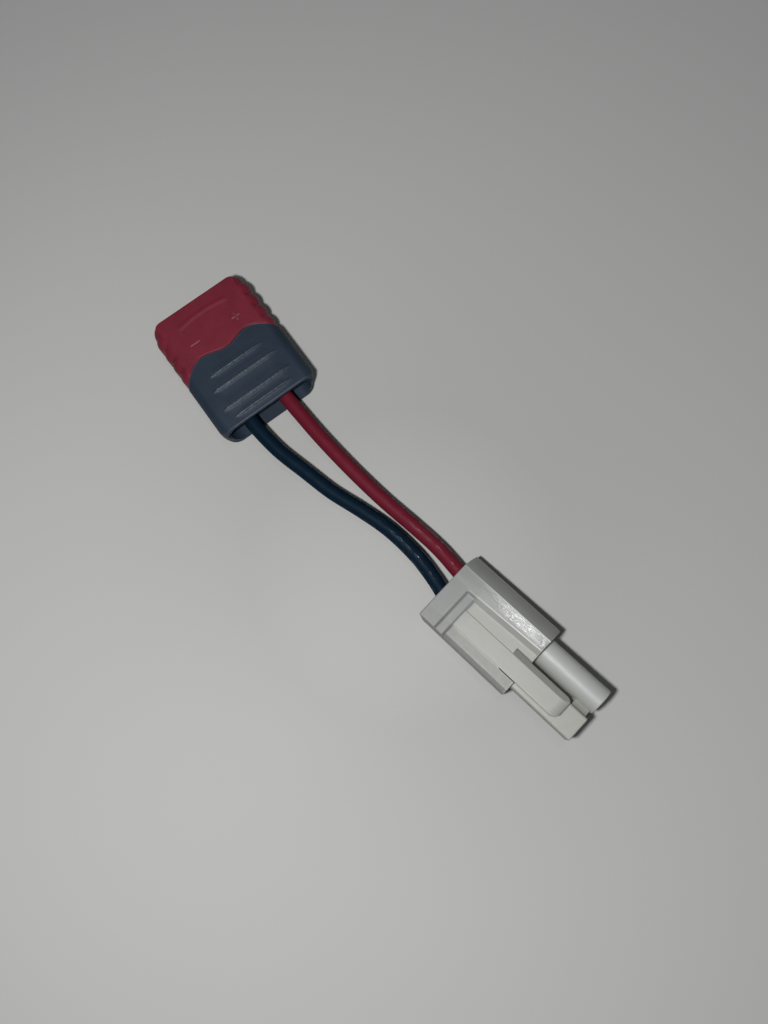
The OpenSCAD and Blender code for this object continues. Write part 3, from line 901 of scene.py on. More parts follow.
        # Front edge, from the inside to the outside
        v = np.linspace(0.0, 1.0, self.front_rows)[1:-1, None]
        y_face, z_face = iy + (y_out[:1] - iy) * v, iz + (z_out[:1] - iz) * v
        rings = np.concatenate(
            [
                form.stack(x_out, y_out, z_out),
                form.stack(x_rim, y_rim, z_rim),
                form.stack(x_in, y_in, z_in),
                form.stack(front, y_face, z_face),
            ]
        )
        obj = make_loft("t_plug_cap", rings, closed=True)
        # Shares read by the material: painted glints on the rib spines, painted highlights on
        # both rims and painted sheen on the rib flanks
        crest, rim = np.zeros((2, *rings.shape[:2]))
        crest[: len(x_out)] = self.spine_glints(x_out, oy) * table.on_flat
        rim[: len(x_out)] = self.rim_highlights(x_out - front, x_out - back, oy)
        # Painted sheen on the rib flanks that face the mating face
        rim[: len(x_out)] += self.dust * self.dusty(x_out, oy) * table.on_flat
        keep_on_points(obj, Kept.CREST, crest, vector=False)
        keep_on_points(obj, Kept.RIM, rim, vector=False)
        shade(obj, angle=40.0)
        dress(obj, self.finish, Slot.SLATE_CAP, ["rear_cap"])


# ---- Battery plug


@dataclass(frozen=True)
class PlugPlace:
    """Place of the battery plug: u along its axis, v across it and w up."""

    x: float = 54.0
    y: float = 6.7
    down: float = 4.1
    yaw: float = 10.1
    pitch: float = 7.0

    def matrix(self) -> Matrix:
        """Matrix from the plug's own millimetres, as metres, to the frame.

        Returns:
            The matrix, of shape (4, 4).
        """
        turn = Matrix.Rotation(math.radians(self.yaw), 4, "Z") @ Matrix.Rotation(
            -math.radians(self.pitch), 4, "Y"
        )
        z = self.down * math.cos(math.radians(self.pitch))
        return Matrix.Translation(Vector((self.x, self.y, z)) * MM) @ turn

    def point(self, u: float, v: float, w: float) -> Tuple[float, float, float]:
        """A point of the plug in the frame, in millimetres."""
        p = self.matrix() @ (Vector((u, v, w)) * MM)
        return p.x / MM, p.y / MM, p.z / MM


def rounded_outline(
    corners: Sequence[Tuple[float, float]], radii: Sequence[float], steps: int = 8
) -> Array:
    """Outline with round corners.

    Each corner becomes an arc that touches both of its sides: it starts r / tan(h) from the
    corner, with h half the angle between the sides, and its middle lies r / sin(h) away on
    the bisector.

    Args:
        corners: points in order.
        radii: radius at each corner, 0 where it stays sharp.
        steps: points in each arc, less one.

    Returns:
        Array of shape (n, 2).
    """
    pts = np.array(corners, float)
    out: List[Array] = []
    for k, (b, r) in enumerate(zip(pts, radii)):
        if r <= 0.0:
            out.append(b[None])
            continue
        a, c = pts[k - 1], pts[(k + 1) % len(pts)]
        p, q = (a - b) / np.linalg.norm(a - b), (c - b) / np.linalg.norm(c - b)
        half = math.acos(float(np.clip(p @ q, -1.0, 1.0))) / 2.0
        mid = b + (p + q) / np.linalg.norm(p + q) * r / math.sin(half)
        first, last = b + p * r / math.tan(half) - mid, b + q * r / math.tan(half) - mid
        start = math.atan2(first[1], first[0])
        sweep = math.atan2(first[0] * last[1] - first[1] * last[0], float(first @ last))
        t = start + sweep * np.linspace(0.0, 1.0, steps + 1)
        out.append(mid + r * np.stack([np.cos(t), np.sin(t)], axis=1))
    return np.concatenate(out)


def rounded_box(v: float, half_v: float, half_w: float, radius: float, steps: int = 8) -> Array:
    """Outline of a rectangle with equal round corners, whose middle is at v.

    Args:
        v: place of its middle.
        half_v: half of its width.
        half_w: half of its height.
        radius: radius of its corners.
        steps: points in each corner, less one.

    Returns:
        Array of shape (n, 2).
    """
    lo, hi = v - half_v, v + half_v
    corners = [(lo, -half_w), (hi, -half_w), (hi, half_w), (lo, half_w)]
    return rounded_outline(corners, [radius] * 4, steps)


def loft_along_u(name: str, outlines: Sequence[Tuple[float, Array]]) -> bpy.types.Object:
    """Solid through outlines (v, w), each with its place along u."""
    rings = [np.column_stack([np.full(len(flat), u), flat]) for u, flat in outlines]
    return make_loft(name, np.array(rings))


def prism(name: str, outline: Array, lo: float, hi: float, axis: Axis) -> bpy.types.Object:
    """Solid with a constant outline.

    Args:
        name: name of the solid.
        outline: points (n, 2): (v, w) for axis U, (u, w) for axis V and (u, v) for axis W.
        lo: where it starts along the axis.
        hi: where it ends.
        axis: which way it runs.

    Returns:
        The solid, in the plug's own frame.
    """
    ends = [np.insert(outline, axis.value, level, axis=1) for level in (lo, hi)]
    return make_loft(name, np.array(ends))


def lathe(
    name: str, profile: Sequence[Tuple[float, float]], v: float, sides: int
) -> bpy.types.Object:
    """Solid turned about a line along u.

    Args:
        name: name of the solid.
        profile: pairs of place along u and radius.
        v: distance of the line from the plug's middle.
        sides: points in each ring.

    Returns:
        The solid, in the plug's own frame.
    """
    t = np.linspace(0.0, TAU, sides, endpoint=False)
    u, r = np.array(profile, float).T[:, :, None]
    rings = np.stack(np.broadcast_arrays(u, v + r * np.cos(t), r * np.sin(t)), axis=-1)
    return make_loft(name, rings)


@dataclass(frozen=True)
class PlugHousing:
    """Natural nylon housing of the battery plug: block, recess, tongue, tubes and bores."""

    spot: PlugPlace
    finish: bpy.types.Material
    pitch: float = 6.2
    body_l: float = 19.5
    tube_l: float = 12.8
    left: float = 7.3
    right: float = 7.492
    bevel_top: float = 3.1
    bevel_low: float = 2.2
    bevel_foot: float = 0.8
    foot_r: float = 1.4
    bulge: float = 0.25
    bulge_at: Tuple[float, ...] = (0.2, 0.4, 0.6, 0.8)
    up: float = 4.9
    down: float = 4.1
    edge: float = 0.2
    recess: float = 0.9
    recess_at: float = 3.4
    recess_step: float = 5.35
    draft: float = 0.3
    wall_v: float = 2.1
    wall_turn: float = 2.3
    chamfer: float = 0.7
    square: float = 4.9
    square_r: float = 0.45
    round_d: float = 5.088
    tip: float = 0.25
    root: float = 1.0
    tongue_w: float = 3.3
    tongue_t: float = 1.15
    tongue_flank: float = 1.12
    tongue_rise: float = 0.12
    tongue_shift: float = 0.1
    tongue_root: float = 0.45
    tongue_end: float = 28.5
    tongue_free: float = 12.4
    tongue_edge: float = 0.1
    tongue_corner: float = 1.5
    tip_drop: float = 0.95
    tip_run: float = 1.85
    hook: Tuple[float, float] = (1.8, 0.9)
    hook_gap: float = 0.2
    slot_right: float = 0.15
    slot_left: float = 0.15
    slot_gap: float = 0.02
    slot_past: float = 2.1
    web: Tuple[float, float] = (-1.2, -0.9)
    fillet: Tuple[Tuple[float, float], ...] = (
        (-1.2, -1.0),
        (1.2, -1.0),
        (0.8, 0.45),
        (0.1, 0.75),
        (-0.45, 1.35),
        (-1.0, 2.38),
    )
    web_back: float = 2.0
    fillet_gap: float = 0.25
    fillet_back: float = 2.2
    turn_rows: int = 6
    channel_r: float = 2.45
    channel_l: float = 14.4
    bore_r: float = 1.57
    groove: Tuple[float, float] = (17.2, 20.4)
    groove_h: float = 0.4
    lip_r: float = 1.35
    lip_l: float = 0.6
    funnel_gap: float = 0.01
    funnel_round: float = 0.998
    funnel: Tuple[Tuple[float, float], ...] = (
        (-1.0, 0.35),
        (0.0, 0.3),
        (0.18, 0.1),
        (0.45, 0.0),
        (2.5, 0.0),
    )

    @property
    def length(self) -> float:
        """Whole length of the block and the tubes."""
        return self.body_l + self.tube_l

    @property
    def floor(self) -> float:
        """Height of the recess floor."""
        return self.up - self.recess

    @property
    def tongue_v(self) -> float:
        """Distance of the tongue's middle from the plug's middle."""
        return -self.pitch / 2.0 + self.tongue_shift

    def recess_tool(self) -> bpy.types.Object:
        """Tool for the recess: flat part, slanting right wall and the shallow first step.

        Returns:
            The tool, in the plug's own frame.
        """
        d, floor, spare, wide, wider, deeper = self.recess, self.floor, 2.0, 9.0, 12.0, 4.0
        far, mid, top = self.body_l + spare, self.wall_v - 2.0 * d, self.up + spare
        out, deep = -self.left - spare, floor - self.chamfer - spare
        side = -self.left + self.chamfer
        flat = np.array([(out, deep), (side, floor), (mid, floor), (mid, top), (out, top)])
        tool = prism("recess", flat, self.recess_at, far, Axis.U)
        wall = np.array([(-4 * d, 0.0), (-d, 0.0), (d, 2 * d), (-4 * d, 2 * d)])
        right = prism("recess_wall", wall, -self.body_l, spare, Axis.U)
        corner = Matrix.Translation(Vector((self.body_l, self.wall_v, floor)) * MM)
        place(right, corner @ Matrix.Rotation(math.radians(self.wall_turn), 4, "Z"))
        half, below = floor + d / 2.0, floor - deeper
        step, slope = self.recess_step, self.draft / 2.0
        level = np.array(
            [
                (self.recess_at, self.up),
                (self.recess_at + self.draft, half),
                (step - slope, half),
                (step + slope, floor),
                (step + slope, below),
                (far, below),
                (far, wide),
                (self.recess_at, wide),
            ]
        )
        combine(tool, [right], Blend.JOIN)
        combine(tool, [prism("recess_levels", level, -wider, wide, Axis.V)], Blend.KEEP)
        return tool

    def block(self) -> bpy.types.Object:
        """Block with its slightly convex bevel, its recess and the space round the tongue.

        The bevel's points lie 4 b t (1 - t) proud of its chord, with b the bulge.

        Returns:
            The block, in the plug's own frame.
        """
        foot = np.array([self.right, self.bevel_foot])
        crease = np.array([self.right - self.bevel_top, self.up])
        t = np.array(self.bulge_at)[:, None]
        out = np.array([crease[1] - foot[1], foot[0] - crease[0]]) / np.linalg.norm(crease - foot)
        convex = foot + (crease - foot) * t + out * self.bulge * 4.0 * t * (1.0 - t)
        corners = [
            (-self.left, -self.down),
            (self.right - self.bevel_low, -self.down),
            (self.right, -self.bevel_foot),
            tuple(foot),
            *map(tuple, convex),
            tuple(crease),
            (-self.left, self.up),
        ]
        radii = [0.0, 0.0, self.foot_r, self.foot_r] + [0.0] * (len(corners) - 4)
        outline = rounded_outline(corners, radii, steps=4)
        obj = prism("battery_plug_housing", outline, 0.0, self.body_l, Axis.U)
        combine(obj, [self.recess_tool()], Blend.CUT)
        soften(obj, self.edge)
        v0 = self.tongue_v - self.tongue_w / 2.0 - self.slot_left
        v1 = v0 + self.slot_left + self.tongue_w + self.tongue_flank + self.slot_right
        low, top = self.square / 2.0 + self.slot_gap, 7.0
        room = np.array([(v0, low), (v1, low), (v1, top), (v0, top)])
        free, past = self.tongue_end - self.tongue_free, self.body_l + self.slot_past
        combine(obj, [prism("tongue_space", room, free, past, Axis.U)], Blend.CUT)
        return obj

    def tongue(self) -> bpy.types.Object:
        """Latch tongue with its lead-in ramp, its hook and its rounded edges.

        Its upper side falls at the tip along a quarter of an ellipse, tip_run by tip_drop.

        Returns:
            The tongue, in the plug's own frame.
        """
        top = self.floor + self.tongue_rise
        low = top - self.tongue_t
        gap = self.square / 2.0 + self.hook_gap
        start, end, wide = self.recess_step - self.tongue_root, self.tongue_end, 8.0
        hook, ramp = end - self.hook[0], end - self.hook[1]
        turn = np.linspace(0.0, QUARTER_TURN, self.turn_rows)
        nose = [
            (end - self.tip_run * (1.0 - math.cos(t)), top - self.tip_drop * (1.0 - math.sin(t)))
            for t in turn
        ]
        under = [(start, low), (hook, low), (hook, gap), (ramp, gap), (end, low)]
        v0 = self.tongue_v - self.tongue_w / 2.0
        v1 = v0 + self.tongue_w
        foot = v1 + self.tongue_flank
        plan = rounded_outline(
            [(start, v0), (end, v0), (end, foot), (start, foot)],
            [0.0, self.tongue_corner, self.tongue_flank, 0.0],
        )
        slope = np.array([(v0, 0.0), (foot, 0.0), (foot, low), (v1, top), (v0, top)])
        obj = prism("latch_tongue", np.array([*under, *nose, (start, top)]), -wide, wide, Axis.V)
        combine(obj, [prism("tongue_plan", plan, 0.0, wide, Axis.W)], Blend.KEEP)
        combine(obj, [prism("tongue_slope", slope, 0.0, end + 1.0, Axis.U)], Blend.KEEP)
        soften(obj, self.tongue_edge, angle=40.0)
        return obj

    def tubes(self) -> List[bpy.types.Object]:
        """Round tube, square tube, the web between them and its fillet at the nose.

        Returns:
            The four solids, in the plug's own frame.
        """
        start, end, half, tip = self.body_l - self.root, self.length, self.pitch / 2.0, self.tip
        r, s = self.round_d / 2.0, self.square / 2.0
        turn = np.linspace(0.0, QUARTER_TURN, self.turn_rows)
        nose = [(end - tip + tip * math.sin(t), r - tip + tip * math.cos(t)) for t in turn]
        tube = lathe("round_tube", [(start, r), *nose], half, sides=128)
        outlines = []
        for u, inset in [
            (start, 0.0),
            *[(end - tip + tip * math.sin(t), tip - tip * math.cos(t)) for t in turn],
        ]:
            q = s - inset
            outlines.append((u, rounded_box(-half, q, q, self.square_r - inset)))
        box = loft_along_u("square_tube", outlines)
        low, high = self.web
        level = np.array([(-half, low), (half, low), (half, high), (-half, high)])
        web = prism("web", level, start, end - self.web_back * tip, Axis.U)
        ahead, behind = self.tongue_end + self.fillet_gap, end - self.fillet_back * tip
        fillet = prism("nose_fillet", np.array(self.fillet), ahead, behind, Axis.U)
        return [tube, box, web, fillet]

    def bores(self) -> List[bpy.types.Object]:
        """Tools for the bores, the wire channels and the funnel that joins their mouths.

        Returns:
            The three tools, in the plug's own frame.
        """
        end, wide, bore, half = self.length, self.channel_r, self.bore_r, self.pitch / 2.0
        groove_r = bore + self.groove_h
        ahead, chamfer, past = -1.0, 0.25, 0.55
        profile = [
            (ahead, wide),
            (self.channel_l, wide),
            (self.channel_l, bore),
            (self.groove[0], bore),
            (self.groove[0], groove_r),
            (self.groove[1], groove_r),
            (self.groove[1], bore),
            (end - self.lip_l, bore),
            (end - self.lip_l, self.lip_r),
            (end - chamfer, self.lip_r),
            (end + past, self.lip_r + (chamfer + past)),
        ]
        outlines = []
        for u, extra in self.funnel:
            r = wide - self.funnel_gap + extra
            outlines.append((u, rounded_box(0.0, half + r, r, r * self.funnel_round, steps=16)))
        return [
            lathe("bore_positive", profile, half, sides=96),
            lathe("bore_negative", profile, -half, sides=96),
            loft_along_u("funnel", outlines),
        ]

    def build(self) -> None:
        """Combines the parts and sets the plug in its place."""
        obj = self.block()
        combine(obj, [self.tongue()] + self.tubes(), Blend.JOIN)
        combine(obj, self.bores(), Blend.CUT)
        shade(obj, angle=32.0)
        settle_normals(obj, angle=32.0)
        own = np.empty(len(obj.data.vertices) * 3, np.float32)
        obj.data.vertices.foreach_get("co", own)
        keep_on_points(obj, Kept.OWN, own / MM, vector=True)
        place(obj, self.spot.matrix())
        dress(obj, self.finish, Slot.NATURAL_NYLON, ["plug_housing"])


# ---- Wires


@dataclass(frozen=True)
class Wire:
    """Silicone-insulated wire swept along the route that the CAD solid follows."""

    name: str
    node: str
    route: Tuple[Point, ...]
    finish: bpy.types.Material
    slot: Slot
    diameter: float = 2.8
    steps: int = 14
    sides: int = 40
    end_share: float = 0.9

    def curve(self) -> Array:
        """Points of a smooth cubic curve through the route's points.

        Half of 2b + t(c - a) + t^2(2a - 5b + 4c - d) + t^3(3b - a - 3c + d) in each stretch
        from b to c, with a and d the points before and after it.

        Returns:
            Array of shape (n, 3), in millimetres.
        """
        p = np.array(self.route, float)
        n = len(p) - 1
        k = np.arange(n)
        at = (np.maximum(k - 1, 0), k, k + 1, np.minimum(k + 2, n))
        a, b, c, d = (p[places][:, None, :] for places in at)
        t = (np.arange(self.steps) / self.steps)[None, :, None]
        body = 0.5 * (
            2 * b
            + t * (c - a)
            + t**2 * (2 * a - 5 * b + 4 * c - d)
            + t**3 * (3 * b - a - 3 * c + d)
        )
        return np.concatenate([body.reshape(-1, 3), p[-1:]])

    def build(self) -> None:
        """A point is line + r (cos(t) side + sin(t) up), square to the line's direction.
        """
        line = self.curve()
        tangent = np.gradient(line, axis=0)
        tangent /= np.linalg.norm(tangent, axis=1)[:, None]
        side = np.cross([0.0, 0.0, 1.0], tangent)
        side /= np.linalg.norm(side, axis=1)[:, None]
        up = np.cross(tangent, side)
        t = np.linspace(0.0, TAU, self.sides, endpoint=False)
        radius = np.full(len(line), self.diameter / 2.0)
        radius[[0, -1]] *= self.end_share
        radial = np.cos(t)[None, :, None] * side[:, None] + np.sin(t)[None, :, None] * up[:, None]
        obj = make_loft(self.name, line[:, None] + radius[:, None, None] * radial)
        reach = np.concatenate([[0.0], np.cumsum(np.linalg.norm(np.diff(line, axis=0), axis=1))])
        run = np.broadcast_arrays(
            reach[:, None], np.cos(t) * self.diameter / 2.0, np.sin(t) * self.diameter / 2.0
        )
        keep_on_points(obj, Kept.RUN, np.stack(run, axis=-1), vector=True)
        shade(obj, angle=60.0)
        dress(obj, self.finish, self.slot, [self.node])
        [float(c) * MM for c in self.route[0]]
        LOG.info("%s is %.1f mm long", self.name, reach[-1])


# ---- Materials


@dataclass(frozen=True)
class Ramp:
    """A range of values, and the range that it is mapped to."""

    lo: float
    hi: float
    to_lo: float = 0.0
    to_hi: float = 1.0


def set_inputs(node: bpy.types.Node, values: Dict[str, object]) -> None:
    """Sets constants on a node's own sockets, by their names."""
    for label, value in values.items():
        node.inputs[label].default_value = value


class NodeSheet:
    """Short ways to add and link the nodes of one tree."""

    def __init__(self, tree: bpy.types.NodeTree) -> None:
        """Keeps the tree that the nodes go in."""
        self.tree = tree

    def add(self, kind: str, **values: object) -> bpy.types.Node:
        """Adds a node and sets its own properties.

        Args:
            kind: Blender's name for this kind of node.
            values: its own properties.

        Returns:
            The node.
        """
        node = self.tree.nodes.new(kind)
        for key, value in values.items():
            setattr(node, key, value)
        return node

    def link(self, source: bpy.types.NodeSocket, target: bpy.types.NodeSocket) -> None:
        """Joins an output to an input."""
        self.tree.links.new(source, target)

    def place_at(self) -> bpy.types.NodeSocket:
        """Object coordinates, in metres."""
        return self.add("ShaderNodeTexCoord").outputs["Object"]

    def attribute(self, kept: Kept, output: str = "Fac") -> bpy.types.NodeSocket:
        """Number or vector that a piece keeps on its points."""
        return self.add("ShaderNodeAttribute", attribute_name=kept.value).outputs[output]

    def axes(self, vector: bpy.types.NodeSocket) -> List[bpy.types.NodeSocket]:
        """The three parts of a vector.

        Args:
            vector: the vector.

        Returns:
            Its X, Y and Z.
        """
        node = self.add("ShaderNodeSeparateXYZ")
        self.link(vector, node.inputs[0])
        return [node.outputs[k] for k in "XYZ"]

    def stretched(self, vector: bpy.types.NodeSocket, share: float) -> bpy.types.NodeSocket:
        """Coordinates whose patterns are drawn out along X, by one over a share.

        Args:
            vector: the coordinates.
            share: their scale along X.

        Returns:
            The stretched coordinates.
        """
        node = self.add("ShaderNodeMapping")
        node.inputs["Scale"].default_value = (share, 1.0, 1.0)
        self.link(vector, node.inputs["Vector"])
        return node.outputs[0]

    def noise(
        self, vector: bpy.types.NodeSocket, scale: float, detail: float = 3.0, rough: float = 0.5
    ) -> bpy.types.NodeSocket:
        """Noise between 0 and 1, at a scale per unit of the vector.

        Args:
            vector: the coordinates.
            scale: cells in each unit.
            detail: finer layers that are added.
            rough: weight of each finer layer.

        Returns:
            The noise.
        """
        node = self.add("ShaderNodeTexNoise")
        set_inputs(node, {"Scale": scale, "Detail": detail, "Roughness": rough})
        self.link(vector, node.inputs["Vector"])
        return node.outputs["Fac"]

    def math(
        self, operation: str, a: object, b: object = 0.0, clamp: bool = False
    ) -> bpy.types.NodeSocket:
        """Math node whose inputs are sockets or numbers.

        Args:
            operation: Blender's name for the operation.
            a: first input.
            b: second input.
            clamp: whether the result stays between 0 and 1.

        Returns:
            The result.
        """
        node = self.add("ShaderNodeMath", operation=operation, use_clamp=clamp)
        for socket, value in zip(node.inputs, (a, b)):
            if isinstance(value, (int, float)):
                socket.default_value = value
            else:
                self.link(value, socket)
        return node.outputs[0]

    def times(self, first: bpy.types.NodeSocket, *others: object) -> bpy.types.NodeSocket:
        """Product of a socket and further sockets or numbers.

        Args:
            first: the socket.
            others: what it is multiplied by.

        Returns:
            The product.
        """
        for other in others:
            first = self.math("MULTIPLY", first, other)
        return first

    def spread(self, value: bpy.types.NodeSocket, ramp: Ramp) -> bpy.types.NodeSocket:
        """Maps a range to another, clamped.

        Args:
            value: the value.
            ramp: both ranges.

        Returns:
            The mapped value.
        """
        node = self.add("ShaderNodeMapRange", clamp=True)
        self.link(value, node.inputs["Value"])
        set_inputs(node, {"From Min": ramp.lo, "From Max": ramp.hi})
        set_inputs(node, {"To Min": ramp.to_lo, "To Max": ramp.to_hi})
        return node.outputs["Result"]

    def mix(self, factor: bpy.types.NodeSocket, a: object, b: object) -> bpy.types.NodeSocket:
        """Mixes two colours, each a socket or a tuple.

        Args:
            factor: share of the second colour.
            a: first colour.
            b: second colour.

        Returns:
            The mixed colour.
        """
        node = self.add("ShaderNodeMix", data_type="RGBA")
        self.link(factor, node.inputs["Factor"])
        for socket, value in ((node.inputs[MIX_FIRST], a), (node.inputs[MIX_SECOND], b)):
            if isinstance(value, tuple):
                socket.default_value = (*value, 1.0)
            else:
                self.link(value, socket)
        return node.outputs[MIX_RESULT]

    def bump(
        self,
        height: bpy.types.NodeSocket,
        strength: float,
        depth_mm: float,
        shader: bpy.types.Node,
    ) -> None:
        """Feeds a height between 0 and 1 to a shader's normal.

        Args:
            height: the height's socket.
            strength: share of the relief that shows.
            depth_mm: relief between 0 and 1, in millimetres.
            shader: the shader that takes it.
        """
        node = self.add("ShaderNodeBump")
        set_inputs(node, {"Strength": strength, "Distance": depth_mm * MM})
        self.link(height, node.inputs["Height"])
        self.link(node.outputs["Normal"], shader.inputs["Normal"])


def moulded_group() -> bpy.types.ShaderNodeTree:
    """Group for moulded plastic: mottled colour, roughness and fine grain from coordinates.

    Returns:
        The group, which is made only once.
    """
    name = "moulded_surface"
    cloud_share, fine_share, fine_relief, grain_relief = 0.72, 0.28, 0.6, 0.4
    if name in bpy.data.node_groups:
        return bpy.data.node_groups[name]
    tree = bpy.data.node_groups.new(name, "ShaderNodeTree")
    for way, kind, labels in (
        ("INPUT", "Vector", ("Vector",)),
        ("INPUT", "Color", ("Light", "Dark")),
        ("INPUT", "Float", ("Mottle", "Rough Low", "Rough High")),
        ("OUTPUT", "Color", ("Colour",)),
        ("OUTPUT", "Float", ("Roughness", "Height")),
    ):
        for label in labels:
            tree.interface.new_socket(label, in_out=way, socket_type="NodeSocket" + kind)
    sheet = NodeSheet(tree)
    given = sheet.add("NodeGroupInput").outputs
    out = sheet.add("NodeGroupOutput").inputs
    cloud = sheet.noise(given["Vector"], scale=190.0, detail=5.0, rough=0.6)
    fine = sheet.noise(given["Vector"], scale=1500.0, detail=3.0, rough=0.6)
    grain = sheet.noise(given["Vector"], scale=6500.0, detail=2.0, rough=0.5)
    both = sheet.math("ADD", sheet.times(cloud, cloud_share), sheet.times(fine, fine_share))
    amount = sheet.times(sheet.spread(both, Ramp(0.36, 0.64)), given["Mottle"])
    sheet.link(sheet.mix(amount, given["Light"], given["Dark"]), out["Colour"])
    rough = sheet.add("ShaderNodeMapRange", clamp=True)
    set_inputs(rough, {"From Min": 0.35, "From Max": 0.65})
    sheet.link(fine, rough.inputs["Value"])
    sheet.link(given["Rough Low"], rough.inputs["To Min"])
    sheet.link(given["Rough High"], rough.inputs["To Max"])
    sheet.link(rough.outputs["Result"], out["Roughness"])
    relief = sheet.times(fine, fine_relief), sheet.times(grain, grain_relief)
    sheet.link(sheet.math("ADD", *relief), out["Height"])
    return tree


def new_material(name: str) -> Tuple[bpy.types.Material, NodeSheet, bpy.types.Node]:
    """Makes a material with an empty Principled shader.

    Args:
        name: name of the material.

    Returns:
        The material, its sheet of nodes and the shader node.
    """
    material = bpy.data.materials.new(name)
    material.use_nodes = True
    tree = material.node_tree
    return material, NodeSheet(tree), tree.nodes["Principled BSDF"]


@dataclass(frozen=True)
class RibGlintsAndSheen:
    """Painted speckled glints on the rib spines, and painted highlights and sheen on the edges,
    from shares kept on the cap's points.
    """

    sparkle: Ramp = Ramp(0.52, 0.62, 0.15, 1.0)
    sparkle_scale: float = 3600.0
    glint_tone: Colour = (0.155, 0.175, 0.20)
    glint_share: float = 0.9
    sheen_tone: Colour = (0.15, 0.15, 0.19)
    sheen_share: float = 0.5
    polish: float = 0.2
    raise_by: float = 0.9

    def apply(
        self,
        sheet: NodeSheet,
        colour: bpy.types.NodeSocket,
        rough: bpy.types.NodeSocket,
        height: bpy.types.NodeSocket,
    ) -> Tuple[bpy.types.NodeSocket, bpy.types.NodeSocket, bpy.types.NodeSocket]:
        """Adds the painted glints, highlights and sheen, with smoother, raised spines.

        Args:
            sheet: nodes of the material.
            colour: the moulded colour.
            rough: the moulded roughness.
            height: the moulded grain.

        Returns:
            The colour with its painted glints, highlights and sheen, the roughness and the grain.
        """
        # Painted glints: speckles that lighten the rib spines, which are also made smoother and
        # raised
        sparkle = sheet.noise(sheet.place_at(), scale=self.sparkle_scale, detail=2.0, rough=0.7)
        spine_glints = sheet.times(sheet.attribute(Kept.CREST), sheet.spread(sparkle, self.sparkle))
        # Painted rim highlights and flank sheen, mixed towards a lighter tone
        edge = sheet.times(sheet.attribute(Kept.RIM), self.sheen_share)
        colour = sheet.mix(sheet.times(spine_glints, self.glint_share), colour, self.glint_tone)
        colour = sheet.mix(edge, colour, self.sheen_tone)
        rough = sheet.math("SUBTRACT", rough, sheet.times(spine_glints, self.polish), True)
        return colour, rough, sheet.math("ADD", height, sheet.times(spine_glints, self.raise_by))


